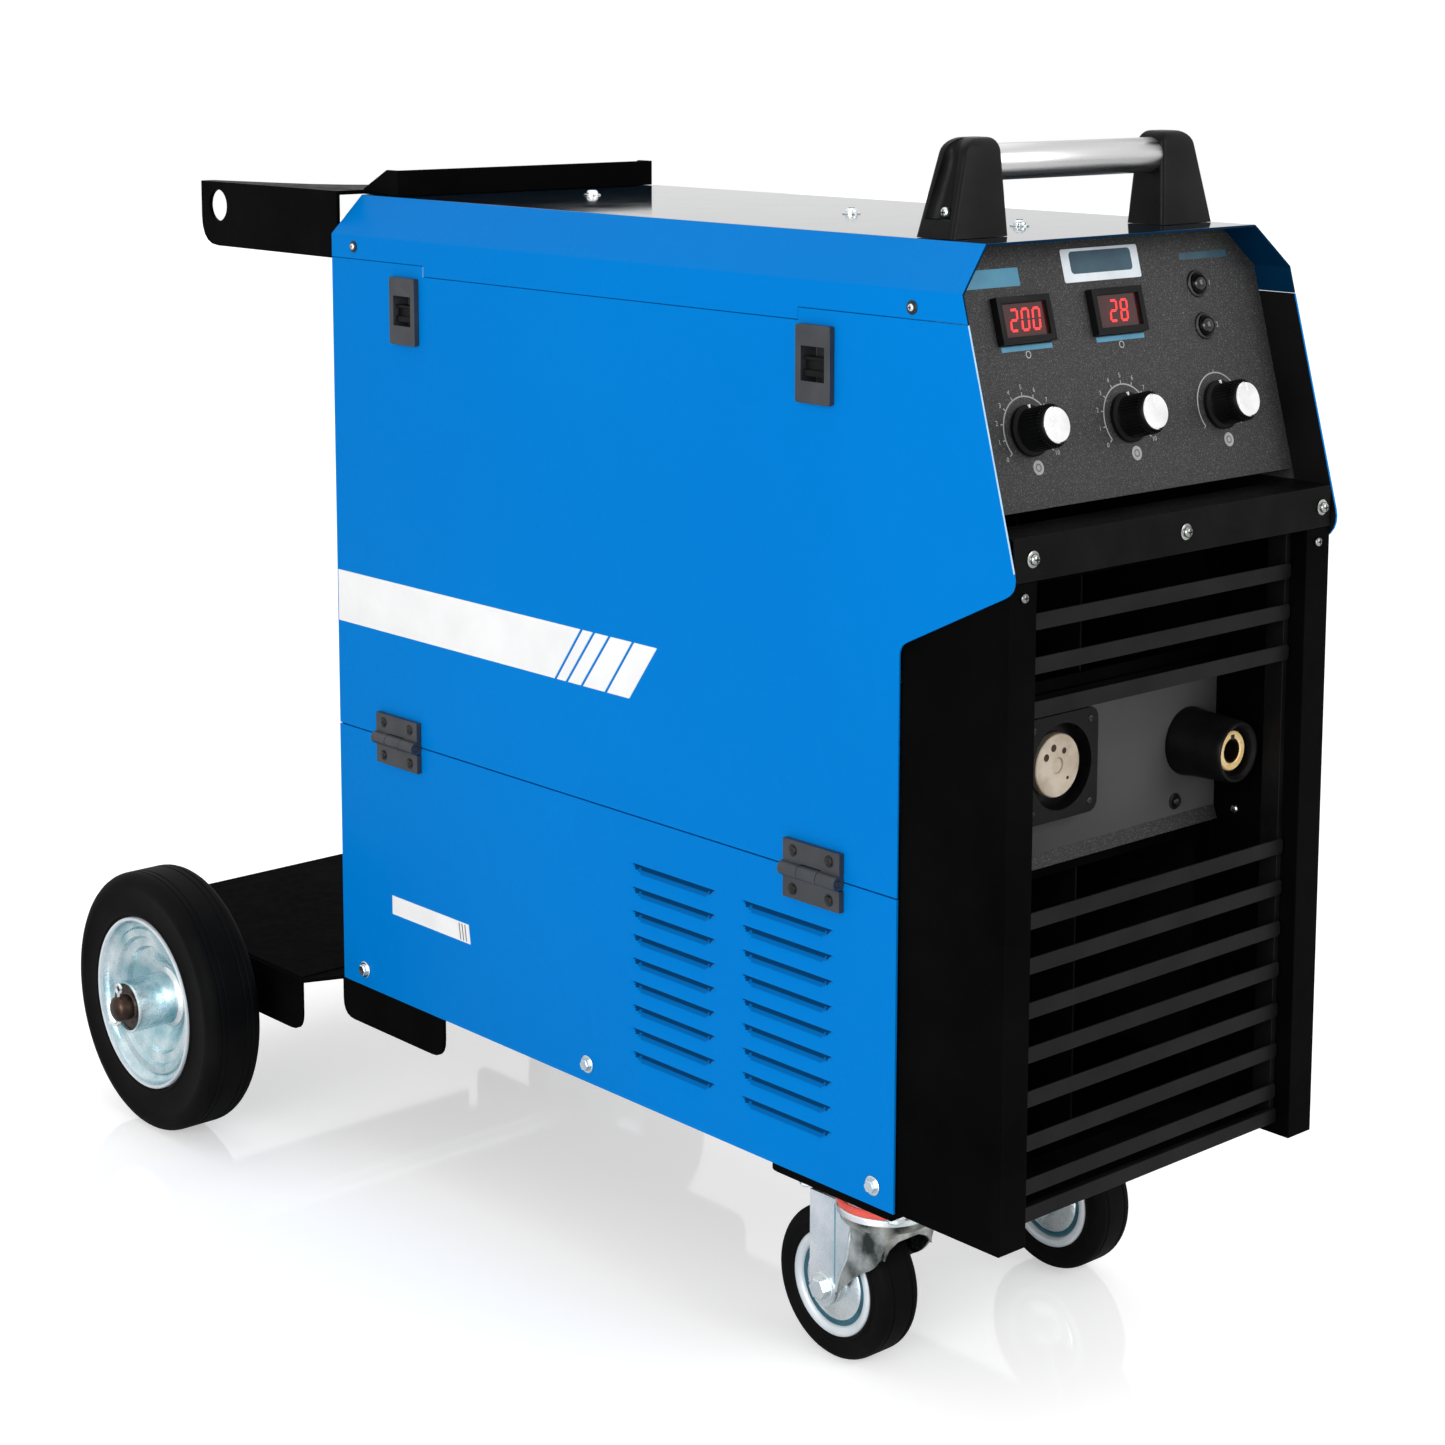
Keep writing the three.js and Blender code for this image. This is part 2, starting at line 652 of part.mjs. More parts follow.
function lowerPanel() {
  const { blades, slots } = louvres(-1);
  const wall = block(-HALF, -HALF + SHEET, CORNER_DEPTH, CABINET_LENGTH, TRAY_BOTTOM, LOWER_PANEL_TOP);
  const top = block(
    -HALF,
    -HALF + DOOR_FLANGE,
    CORNER_DEPTH + DOOR_FLANGE,
    REAR_INNER - DOOR_FLANGE,
    LOWER_PANEL_TOP - SHEET,
    LOWER_PANEL_TOP,
  );
  return join(cut(join(wall, top), ...slots), ...blades);
}

// Outline of a side panel above z = foot, with its wing beside the control panel.
function sideOutline(foot) {
  return [
    [CABINET_LENGTH, foot],
    [CABINET_LENGTH, SEAM_HEIGHT],
    [SEAM_STEP_REAR, SEAM_HEIGHT],
    [SEAM_STEP_REAR, SEAM_HEIGHT - SEAM_STEP],
    [SEAM_STEP_FRONT, SEAM_HEIGHT - SEAM_STEP],
    [SEAM_STEP_FRONT, SEAM_HEIGHT],
    [slopeY(SEAM_HEIGHT), SEAM_HEIGHT],
    [WING_CHIN_Y, WING_CHIN_Z, WING_CHIN_RADIUS],
    [CORNER_DEPTH, WING_HEEL_Z, WING_HEEL_RADIUS],
    [CORNER_DEPTH, foot],
  ];
}

function sideDoor() {
  const inner = -HALF + DOOR_FLANGE;
  const front = CORNER_DEPTH + DOOR_FLANGE;
  const rear = REAR_INNER - DOOR_FLANGE;
  const sheet = prismX(sideOutline(DOOR_BOTTOM), -HALF, -HALF + SHEET);
  const footFlange = block(-HALF, inner, front, rear, DOOR_BOTTOM, DOOR_BOTTOM + SHEET);
  const flangeTop = SEAM_HEIGHT - DOOR_FLANGE;
  const rearFlange = block(-HALF, inner, rear - SHEET, rear, DOOR_BOTTOM, flangeTop);
  const holes = LATCH_POSITIONS.map((y) =>
    block(
      -HALF - 1,
      -HALF + SHEET + 1,
      y - LATCH_BOX_WIDTH / 2 - CLEAR,
      y + LATCH_BOX_WIDTH / 2 + CLEAR,
      LATCH_TOP - LATCH_HEIGHT + LATCH_BOX_INSET - CLEAR,
      LATCH_TOP - LATCH_BOX_INSET + CLEAR,
    ),
  );
  return cut(join(sheet, footFlange, rearFlange), ...holes);
}

function rightPanel() {
  const { blades, slots } = louvres(1);
  const sheet = prismX(sideOutline(TRAY_BOTTOM), HALF - SHEET, HALF);
  return join(cut(sheet, ...slots), ...blades);
}

function topCover() {
  const skirt = SEAM_HEIGHT - SEAM_STEP + CLEAR;
  const section = folded(
    [
      [HALF, skirt],
      [HALF, CHAMFER_START],
      [HALF - ROOF_CHAMFER, ROOF_HEIGHT],
      [ROOF_CHAMFER - HALF, ROOF_HEIGHT],
      [-HALF, CHAMFER_START],
      [-HALF, skirt],
    ],
    SHEET,
  );
  const [low, high] = [skirt - 10, ROOF_HEIGHT + 10];
  const slope = [
    [AHEAD, low],
    [slopeY(low), low],
    [slopeY(high), high],
    [AHEAD, high],
  ];
  const seam = SEAM_HEIGHT + CLEAR;
  const wide = HALF + 1;
  return cut(
    prismY(section, 0, CABINET_LENGTH),
    prismX(slope, -wide, wide),
    block(-wide, wide, AHEAD, SEAM_STEP_FRONT + CLEAR, low, seam),
    block(-wide, wide, SEAM_STEP_REAR - CLEAR, CABINET_LENGTH + 1, low, seam),
  );
}

function rearPanel() {
  const inset = (SHEET + CLEAR) * Math.tan(Math.PI / 8);
  const top = ROOF_INNER - CLEAR;
  const corners = [
    [-INNER_HALF, FLOOR_IN],
    [INNER_HALF, FLOOR_IN],
    [INNER_HALF, CHAMFER_START - inset],
    [HALF - ROOF_CHAMFER - inset, top],
    [ROOF_CHAMFER - HALF + inset, top],
    [-INNER_HALF, CHAMFER_START - inset],
  ];
  const [y0, y1] = [REAR_INNER - 1, REAR_FACE + 1];
  const holes = [
    rod("y", SWITCH_HOLE_RADIUS, y0, y1, SWITCH_X, SWITCH_Z),
    rod("y", GLAND_THREAD_RADIUS + CLEAR, y0, y1, GLAND_X, GLAND_Z),
    rod("y", GAS_THREAD_RADIUS + CLEAR, y0, y1, GAS_X, GAS_Z),
  ];
  for (let i = 0; i < VENT_SLOTS; i++) {
    const across = (i - (VENT_SLOTS - 1) / 2) * VENT_PITCH;
    const half = Math.sqrt((FAN_BORE_RADIUS - FAN_WALL) ** 2 - across ** 2);
    const [x0, x1] = [FAN_X + across - VENT_SLOT_WIDTH / 2, FAN_X + across + VENT_SLOT_WIDTH / 2];
    holes.push(block(x0, x1, y0, y1, FAN_Z - half, FAN_Z + half));
  }
  return cut(prismY(corners, REAR_INNER, REAR_FACE), ...holes);
}

// The partition and, folded from it, the shelf under the wire compartment.
function divider() {
  const front = RECESS_DEPTH + SHEET + CLEAR;
  const rear = REAR_INNER - CLEAR;
  const top = ROOF_INNER - CLEAR;
  const wall = prismX(
    [
      [front, FLOOR_IN],
      [rear, FLOOR_IN],
      [rear, top],
      [DIVIDER_STEP_Y, top],
      [DIVIDER_STEP_Y, DIVIDER_STEP_Z],
      [front, DIVIDER_STEP_Z],
    ],
    DIVIDER_X,
    DIVIDER_RIGHT,
  );
  const shelf = block(
    -INNER_HALF,
    DIVIDER_X + SHEET / 2,
    CORNER_DEPTH + CLEAR,
    rear - CLEAR,
    SHELF_TOP - SHEET,
    SHELF_TOP,
  );
  const motorZ = FEED_Z - DRIVE_ROLL_RADIUS - WIRE_GAP / 2;
  const [x0, x1] = [DIVIDER_X - 1, DIVIDER_RIGHT + 1];
  return cut(join(wall, shelf), rod("x", MOTOR_RADIUS + 1, x0, x1, FEED_Y, motorZ));
}

add("base_tray", baseTray(), BLACK);
add("left_lower_panel", lowerPanel(), BLUE);
add("side_door", sideDoor(), BLUE);
add("right_side_panel", rightPanel(), BLUE);
add("top_cover", topCover(), BLUE);
add("rear_panel", rearPanel(), BLACK);
add("divider_wall", divider(), BLACK);

// ---------------------------------------------------------------- front

// Two boxed columns and the recess between them, folded from one sheet.
function frontFrame() {
  const back = CORNER_DEPTH - CLEAR;
  const plan = folded(
    [
      [-INNER_HALF, back],
      [-INNER_HALF, 0],
      [-RECESS_HALF, 0],
      [-RECESS_HALF, RECESS_DEPTH],
      [RECESS_HALF, RECESS_DEPTH],
      [RECESS_HALF, 0],
      [INNER_HALF, 0],
      [INNER_HALF, back],
    ],
    SHEET,
  );
  const window = (z0, z1) =>
    block(-WINDOW_HALF, WINDOW_HALF, RECESS_DEPTH - 1, RECESS_DEPTH + SHEET + 1, z0, z1);
  return cut(
    prismZ(plan, TRAY_BOTTOM, FRAME_TOP),
    window(SILL_TOP, CONNECTOR_FOLD_Z - CONNECTOR_LIP_DROP - FIN_HEIGHT),
    window(CONNECTOR_FOLD_Z + FIN_HEIGHT, CONNECTOR_PLATE_TOP - 2 * FIN_HEIGHT),
    window(CONNECTOR_PLATE_TOP + FIN_HEIGHT, UPPER_FIN_TOP),
  );
}

// One grille fin: an upright strip with a blade that slopes down behind it.
function fin(top) {
  const path = [
    [FIN_FRONT + FIN_BLADE_DEPTH, top - FIN_BLADE_DROP],
    [FIN_FRONT, top],
    [FIN_FRONT, top - FIN_HEIGHT],
  ];
  const half = RECESS_HALF - CLEAR - GRILLE_BAR / 2;
  return prismX(folded(path, SHEET), -half, half);
}

function frontGrille() {
  const half = RECESS_HALF - CLEAR;
  const front = FIN_FRONT + GRILLE_BAR_SETBACK;
  const back = FIN_FRONT + FIN_BLADE_DEPTH + 2;
  const floorBack = RECESS_DEPTH - CLEAR;
  const pieces = [
    block(-half, -half + GRILLE_BAR, front, back, SILL_FOOT + 1, FRAME_TOP),
    block(half - GRILLE_BAR, half, front, back, SILL_FOOT + 1, FRAME_TOP),
    block(-half + 1, half - 1, FIN_FRONT, front + SHEET, SILL_FOOT, SILL_TOP),
    block(-half + 2, half - 2, FIN_FRONT + 1, floorBack, SILL_FOOT + CLEAR, SILL_FOOT + CLEAR + SHEET),
  ];
  for (let i = 0; i < UPPER_FINS; i++) pieces.push(fin(UPPER_FIN_TOP - i * UPPER_FIN_PITCH));
  for (let i = 0; i < LOWER_FINS; i++) pieces.push(fin(LOWER_FIN_TOP - i * LOWER_FIN_PITCH));
  return join(...pieces);
}

function connectorPlate() {
  const half = RECESS_HALF - CLEAR;
  const path = [
    [CONNECTOR_FACE, CONNECTOR_PLATE_TOP],
    [CONNECTOR_FACE, CONNECTOR_FOLD_Z],
    [CONNECTOR_FACE - CONNECTOR_LIP_OUT, CONNECTOR_FOLD_Z - CONNECTOR_LIP_DROP],
  ];
  const [y0, y1] = [CONNECTOR_FACE - 1, RECESS_DEPTH + 1];
  return cut(
    prismX(folded(path, SHEET), -half, half),
    rod("y", TORCH_NECK_RADIUS + CLEAR, y0, y1, TORCH_X, TORCH_Z),
    rod("y", POWER_STUD_RADIUS + CLEAR, y0, y1, POWER_X, POWER_Z),
  );
}

function crossbar() {
  const path = [
    [CROSSBAR_SHELF, CROSSBAR_TOP],
    [-SHEET, CROSSBAR_TOP],
    [-SHEET, CROSSBAR_BOTTOM],
  ];
  const tabFoot = CROSSBAR_TOP - SHEET - CROSSBAR_TAB_DROP - CROSSBAR_HEIGHT;
  const tab = (x0, x1) => block(x0, x1, SHEET + CLEAR, CROSSBAR_SHELF, tabFoot, CROSSBAR_TOP);
  return join(
    prismX(folded(path, SHEET), -CROSSBAR_HALF, CROSSBAR_HALF),
    tab(-CROSSBAR_HALF, -CROSSBAR_HALF + SHEET),
    tab(CROSSBAR_HALF - SHEET, CROSSBAR_HALF),
  );
}

function torchSocket() {
  const half = TORCH_FLANGE / 2;
  const front = SOCKET_SEAT - TORCH_FLANGE_DEPTH;
  const [left, right] = [TORCH_X - half, TORCH_X + half];
  const [low, high] = [TORCH_Z - half, TORCH_Z + half];
  const flange = prismY(
    [
      [left, low, TORCH_CORNER],
      [right, low, TORCH_CORNER],
      [right, high, TORCH_CORNER],
      [left, high, TORCH_CORNER],
    ],
    front,
    SOCKET_SEAT,
  );
  const at = [TORCH_X, TORCH_Z];
  const face = front + TORCH_FACE_SETBACK;
  const neck = SOCKET_SEAT + TORCH_NECK_LENGTH;
  const wellEnd = front + TORCH_WELL_DEPTH;
  return cut(
    join(
      cut(flange, rod("y", TORCH_WELL_RADIUS, front - 1, wellEnd, ...at, 32)),
      rod("y", TORCH_FACE_RADIUS, face, SOCKET_SEAT, ...at, 32),
      rod("y", TORCH_NECK_RADIUS, SOCKET_SEAT - SHEET, neck, ...at),
    ),
    rod("y", TORCH_BORE_RADIUS, face - 1, face + TORCH_BORE_DEPTH, ...at, 16),
  );
}

function powerSocket() {
  const groove = POWER_INSERT_RADIUS + POWER_GROOVE_WIDTH;
  const insert = POWER_LENGTH - POWER_INSERT_SETBACK;
  const profile = [
    [0, -POWER_STUD_LENGTH],
    [POWER_STUD_RADIUS, -POWER_STUD_LENGTH],
    [POWER_STUD_RADIUS, 0],
    [POWER_BASE_RADIUS, 0],
    [POWER_FRONT_RADIUS, POWER_LENGTH],
    [groove, POWER_LENGTH],
    [groove, POWER_LENGTH - POWER_GROOVE_DEPTH],
    [POWER_INSERT_RADIUS, POWER_LENGTH - POWER_GROOVE_DEPTH],
    [POWER_INSERT_RADIUS, insert],
    [POWER_BORE_RADIUS, insert],
    [POWER_BORE_RADIUS, insert - POWER_BORE_DEPTH],
    [0, insert - POWER_BORE_DEPTH],
  ];
  return turnedFront(profile, 24, POWER_X, SOCKET_SEAT, POWER_Z);
}

add("front_frame", frontFrame(), BLACK);
add("front_grille", frontGrille(), BLACK);
add("connector_plate", connectorPlate(), SPECKLED);
add("front_crossbar", crossbar(), BLACK);
add("torch_socket", torchSocket(), DARK_PLASTIC);
add("power_socket", powerSocket(), DARK_PLASTIC);

// ---------------------------------------------------------------- control panel

const displayXs = [DISPLAY_LEFT_X, DISPLAY_RIGHT_X];
const knobXs = [-KNOB_SPACING, 0, KNOB_SPACING];
const buttonUps = [BUTTON_UP, BUTTON_UP - BUTTON_PITCH];

function controlPanel() {
  const inset = (SHEET + CLEAR) * Math.tan(Math.PI / 8);
  const sideTop = (CHAMFER_START - inset - PANEL_Z) / Math.cos(WING_TILT);
  const flatHalf = HALF - ROOF_CHAMFER - inset;
  const shelf = CROSSBAR_TOP + CLEAR;
  const sheet = panelBlock(-INNER_HALF, INNER_HALF, 0, PANEL_TOP, -SHEET, 0);
  const bottom = panelBlock(-INNER_HALF, INNER_HALF, 0, SHEET, -PANEL_RETURN, 0);
  const foot = PANEL_Y - (PANEL_Z - shelf) * Math.tan(WING_TILT);
  const [frontTop, highTop] = onPanel(sideTop, 0);
  const cheek = [
    [foot, shelf],
    [foot + PANEL_SIDE_DEPTH, shelf],
    [frontTop + PANEL_SIDE_DEPTH, highTop],
    [frontTop, highTop],
  ];
  const corner = (side) =>
    prismY(
      [
        [side * (INNER_HALF + 1), CHAMFER_START - inset],
        [side * (INNER_HALF + 1), ROOF_HEIGHT + 1],
        [side * flatHalf, ROOF_HEIGHT + 1],
        [side * flatHalf, ROOF_INNER - CLEAR],
        [side * INNER_HALF, CHAMFER_START - inset],
      ],
      0,
      DIVIDER_STEP_Y,
    );
  const windows = displayXs.map((x) =>
    panelBlock(
      x - BEZEL_WIDTH / 2 - CLEAR,
      x + BEZEL_WIDTH / 2 + CLEAR,
      DISPLAY_UP - BEZEL_HEIGHT / 2 - CLEAR,
      DISPLAY_UP + BEZEL_HEIGHT / 2 + CLEAR,
      -SHEET - 1,
      1,
    ),
  );
  const shaftHoles = knobXs.map((x) =>
    panelRod(x, KNOB_UP, -SHEET - 1, 1, SHAFT_RADIUS + CLEAR, 16),
  );
  const buttonHoles = buttonUps.map((up) =>
    panelRod(BUTTON_X, up, -SHEET - 1, 1, BUTTON_RADIUS + CLEAR),
  );
  return cut(
    join(
      sheet,
      bottom,
      prismX(cheek, -INNER_HALF, -INNER_HALF + SHEET),
      prismX(cheek, INNER_HALF - SHEET, INNER_HALF),
    ),
    corner(-1),
    corner(1),
    ...windows,
    ...shaftHoles,
    ...buttonHoles,
  );
}

// The board behind the panel, with its two displays, three potentiometers and two switches.
function controlBoard() {
  const back = -BOARD_SETBACK;
  const pieces = [
    panelBlock(-BOARD_HALF, BOARD_HALF, BOARD_BOTTOM, BOARD_TOP, back - BOARD_THICK, back),
  ];
  for (const x of knobXs) {
    pieces.push(panelRod(x, KNOB_UP, back - 1, -SHEET - CLEAR, POT_RADIUS));
    pieces.push(panelRod(x, KNOB_UP, back, SHAFT_LENGTH, SHAFT_RADIUS, 16));
  }
  for (const up of buttonUps) {
    const end = -BUTTON_TAIL - BUTTON_TRAVEL - CLEAR;
    pieces.push(
      panelBlock(
        BUTTON_X - SWITCH_HALF,
        BUTTON_X + SWITCH_HALF,
        up - SWITCH_HALF,
        up + SWITCH_HALF,
        back - 1,
        end,
      ),
    );
  }
  const wells = [];
  const half = [BEZEL_WIDTH / 2, BEZEL_HEIGHT / 2];
  for (const x of displayXs) {
    const [low, high] = [DISPLAY_UP - half[1], DISPLAY_UP + half[1]];
    pieces.push(panelBlock(x - half[0], x + half[0], low, high, back - 1, BEZEL_OUT));
    wells.push(
      panelBlock(
        x - half[0] + BEZEL_RIM,
        x + half[0] - BEZEL_RIM,
        low + BEZEL_RIM,
        high - BEZEL_RIM,
        BEZEL_OUT - BEZEL_WELL,
        BEZEL_OUT + 1,
      ),
    );
  }
  return cut(join(...pieces), ...wells);
}

// A piece turned about the panel's normal, its mesh placed and tilted by its group.
function onPanelFace(name, profile, sides, material, x, up, out) {
  const [y, z] = onPanel(up, out);
  const group = groupAt(x, y, z);
  group.rotation.x = Math.PI - WING_TILT;
  add(name, solidOf(turned(profile, sides)), material, group);
}

const knobProfile = [
  [0, KNOB_BORE_DEPTH],
  [SHAFT_RADIUS + CLEAR, KNOB_BORE_DEPTH],
  [SHAFT_RADIUS + CLEAR, 0],
  [KNOB_SKIRT_RADIUS, 0],
  [KNOB_SKIRT_RADIUS, KNOB_SKIRT],
  [KNOB_BODY_RADIUS, KNOB_SKIRT + 2],
  [KNOB_CAP_RADIUS + 1, KNOB_HEIGHT - 2],
  [KNOB_CAP_RADIUS, KNOB_HEIGHT],
  [0, KNOB_HEIGHT],
];
const buttonProfile = [
  [0, -BUTTON_TAIL],
  [BUTTON_RADIUS, -BUTTON_TAIL],
  [BUTTON_RADIUS, BUTTON_OUT * 0.4],
  [BUTTON_RADIUS * 0.86, BUTTON_OUT * 0.7],
  [BUTTON_RADIUS * 0.5, BUTTON_OUT * 0.94],
  [0, BUTTON_OUT],
];

add("control_panel", controlPanel(), SPECKLED);
add("control_board", controlBoard(), BOARD_GREEN);
["left", "middle", "right"].forEach((side, i) =>
  onPanelFace(`knob_${side}`, knobProfile, 24, DARK_PLASTIC, knobXs[i], KNOB_UP, CLEAR),
);
["upper", "lower"].forEach((row, i) =>
  onPanelFace(`button_${row}`, buttonProfile, 20, GLOSS_BLACK, BUTTON_X, buttonUps[i], 0),
);

// ---------------------------------------------------------------- handle

// A tapered post; its tube socket faces +X and its screw groove -X.
function handlePost() {
  const half = HANDLE_BASE_WIDTH / 2;
  const front = prismY(
    [
      [-half, 0],
      [half, 0],
      [half - 2, HANDLE_HEIGHT, 6],
      [-half + HANDLE_OUTER_TAPER, HANDLE_HEIGHT, 14],
    ],
    -HANDLE_BASE_DEPTH / 2,
    HANDLE_BASE_DEPTH / 2,
  );
  const side = prismX(
    [
      [-HANDLE_BASE_DEPTH / 2, 0],
      [HANDLE_BASE_DEPTH / 2, 0],
      [HANDLE_TOP_DEPTH / 2, HANDLE_HEIGHT, 4],
      [-HANDLE_TOP_DEPTH / 2, HANDLE_HEIGHT, 4],
    ],
    -half,
    half,
  );
  const grooveTop = HANDLE_HEIGHT - HANDLE_OUTER_TAPER;
  const shift = (HANDLE_OUTER_TAPER * grooveTop) / HANDLE_HEIGHT;
  const groove = prismY(
    [
      [-half - 1, HANDLE_GROOVE_WIDTH / 2],
      [-half + HANDLE_GROOVE_DEPTH, HANDLE_GROOVE_WIDTH / 2],
      [-half + HANDLE_GROOVE_DEPTH + shift, grooveTop],
      [-half - 1, grooveTop],
    ],
    -HANDLE_GROOVE_WIDTH / 2,
    HANDLE_GROOVE_WIDTH / 2,
  );
  const bore = rod(
    "x",
    HANDLE_TUBE_RADIUS + CLEAR,
    half - HANDLE_INSERT,
    half + 1,
    0,
    HANDLE_TUBE_HEIGHT,
  );
  return cut(front.intersect(side), groove, bore);
}

function handleTube() {
  const end = HANDLE_SPACING / 2 - HANDLE_BASE_WIDTH / 2 + HANDLE_INSERT - CLEAR;
  const inner = HANDLE_TUBE_RADIUS - HANDLE_TUBE_WALL;
  const profile = [
    [inner, -end],
    [HANDLE_TUBE_RADIUS, -end],
    [HANDLE_TUBE_RADIUS, end],
    [inner, end],
    [inner, -end],
  ];
  return turnedX(profile, 24, 0, HANDLE_Y, ROOF_SEAT + HANDLE_TUBE_HEIGHT);
}

[-1, 1].forEach((side) => {
  const turn = side < 0 ? 0 : Math.PI;
  const group = groupAt((side * HANDLE_SPACING) / 2, HANDLE_Y, ROOF_SEAT, turn);
  add(`handle_bracket_${side < 0 ? "left" : "right"}`, handlePost(), DARK_PLASTIC, group);
});
add("handle_tube", handleTube(), ALUMINIUM);

// ---------------------------------------------------------------- bottle bracket

function bottleBracket() {
  const base = ROOF_SEAT;
  const top = base + PLATE;
  const notch = [];
  const steps = 12;
  for (let i = 0; i <= steps; i++) {
    const angle = THREE.MathUtils.degToRad(-12 - (156 * i) / steps);
    notch.push([BOTTLE_RADIUS * Math.cos(angle), BOTTLE_Y + BOTTLE_RADIUS * Math.sin(angle)]);
  }
  const tip = BRACKET_ARM_HALF - BRACKET_TIP_WIDTH;
  const plate = prismZ(
    [
      [-BRACKET_TONGUE_HALF, BRACKET_FRONT],
      [BRACKET_TONGUE_HALF, BRACKET_FRONT],
      [BRACKET_TONGUE_HALF, BRACKET_ARM_START],
      [BRACKET_ARM_HALF, BRACKET_ARM_START],
      [BRACKET_ARM_HALF, BRACKET_ARM_END],
      [tip, BRACKET_ARM_END],
      ...notch,
      [-tip, BRACKET_ARM_END],
      [-BRACKET_ARM_HALF, BRACKET_ARM_END],
      [-BRACKET_ARM_HALF, BRACKET_ARM_START],
      [-BRACKET_TONGUE_HALF, BRACKET_ARM_START],
    ],
    base,
    top,
  );
  const lip = block(
    -BRACKET_TONGUE_HALF,
    BRACKET_TONGUE_HALF,
    BRACKET_FRONT,
    BRACKET_FRONT + PLATE,
    base,
    top + BRACKET_LIP,
  );
  const gusset = [
    [BRACKET_FRONT, base],
    [BRACKET_ARM_START, base],
    [BRACKET_ARM_START, top + 1],
    [BRACKET_FRONT + 14, top + BRACKET_LIP],
    [BRACKET_FRONT, top + BRACKET_LIP],
  ];
  const drop = top - BRACKET_ARM_DROP;
  const arm = [
    [BRACKET_ARM_START, drop],
    [BRACKET_ARM_END, drop, BRACKET_ARM_CORNER],
    [BRACKET_ARM_END, top],
    [BRACKET_ARM_START, top],
  ];
  const inner = BRACKET_ARM_HALF - PLATE;
  const innerTongue = BRACKET_TONGUE_HALF - PLATE;
  const hole = rod(
    "x",
    CHAIN_HOLE_RADIUS,
    -BRACKET_ARM_HALF - 1,
    BRACKET_ARM_HALF + 1,
    BRACKET_ARM_END - CHAIN_HOLE_FROM_END,
    top - CHAIN_HOLE_DROP - PLATE,
  );
  return cut(
    join(
      plate,
      lip,
      prismX(gusset, -BRACKET_TONGUE_HALF, -innerTongue),
      prismX(gusset, innerTongue, BRACKET_TONGUE_HALF),
      prismX(arm, -BRACKET_ARM_HALF, -inner),
      prismX(arm, inner, BRACKET_ARM_HALF),
    ),
    hole,
  );
}

add("bottle_bracket", bottleBracket(), BLACK);

// ---------------------------------------------------------------- rear carriage and wheels

const PLATFORM_TOP = TRAY_BOTTOM - CLEAR;

function rearCarriage() {
  const base = PLATFORM_TOP - PLATE;
  const deck = prismZ(
    [
      [-INNER_HALF, CARRIAGE_FRONT],
      [INNER_HALF, CARRIAGE_FRONT],
      [INNER_HALF, CARRIAGE_NECK],
      [CARRIAGE_HALF, CARRIAGE_SHOULDER],
      [CARRIAGE_HALF, CARRIAGE_REAR],
      [-CARRIAGE_HALF, CARRIAGE_REAR],
      [-CARRIAGE_HALF, CARRIAGE_SHOULDER],
      [-INNER_HALF, CARRIAGE_NECK],
    ],
    base,
    PLATFORM_TOP,
  );
  const skirtFoot = PLATFORM_TOP - CARRIAGE_SKIRT;
  const neckFoot = PLATFORM_TOP - CARRIAGE_NECK_SKIRT;
  const skirt = [
    [CARRIAGE_SHOULDER, skirtFoot, CARRIAGE_CORNER],
    [CARRIAGE_REAR, skirtFoot, CARRIAGE_CORNER],
    [CARRIAGE_REAR, PLATFORM_TOP],
    [CARRIAGE_SHOULDER, PLATFORM_TOP],
  ];
  const neck = [
    [CARRIAGE_FRONT, neckFoot, CARRIAGE_CORNER],
    [CARRIAGE_NECK, neckFoot, CARRIAGE_CORNER],
    [CARRIAGE_NECK, PLATFORM_TOP],
    [CARRIAGE_FRONT, PLATFORM_TOP],
  ];
  const walls = [];
  const holes = [];
  for (const side of [-1, 1]) {
    const span = (a, b) => [Math.min(side * a, side * b), Math.max(side * a, side * b)];
    const outer = span(CARRIAGE_HALF, CARRIAGE_HALF - PLATE);
    walls.push(prismX(skirt, ...outer));
    walls.push(rod("x", AXLE_LUG_RADIUS, ...outer, AXLE_Y, REAR_WHEEL_RADIUS));
    walls.push(prismX(neck, ...span(INNER_HALF, INNER_HALF - PLATE)));
    const [x0, x1] = outer;
    holes.push(rod("x", AXLE_RADIUS + CLEAR, x0 - 1, x1 + 1, AXLE_Y, REAR_WHEEL_RADIUS));
  }
  const tail = block(
    -CARRIAGE_HALF + CARRIAGE_CORNER,
    CARRIAGE_HALF - CARRIAGE_CORNER,
    CARRIAGE_REAR - PLATE,
    CARRIAGE_REAR,
    PLATFORM_TOP - CARRIAGE_SKIRT / 2,
    PLATFORM_TOP,
  );
  const edge = CARRIAGE_HALF - WEAR_PLATE_INSET;
  const wearPlate = block(
    -edge,
    edge,
    CARRIAGE_SHOULDER + WEAR_PLATE_INSET,
    CARRIAGE_REAR - WEAR_PLATE_INSET,
    PLATFORM_TOP - 1,
    PLATFORM_TOP + WEAR_PLATE,
  );
  return cut(join(deck, ...walls, tail, wearPlate), ...holes);
}

// Wheel facets are tangent to the wheel's radius, so that one lies flat on the floor.
const round = (radius) => radius / Math.cos(Math.PI / WHEEL_SIDES);

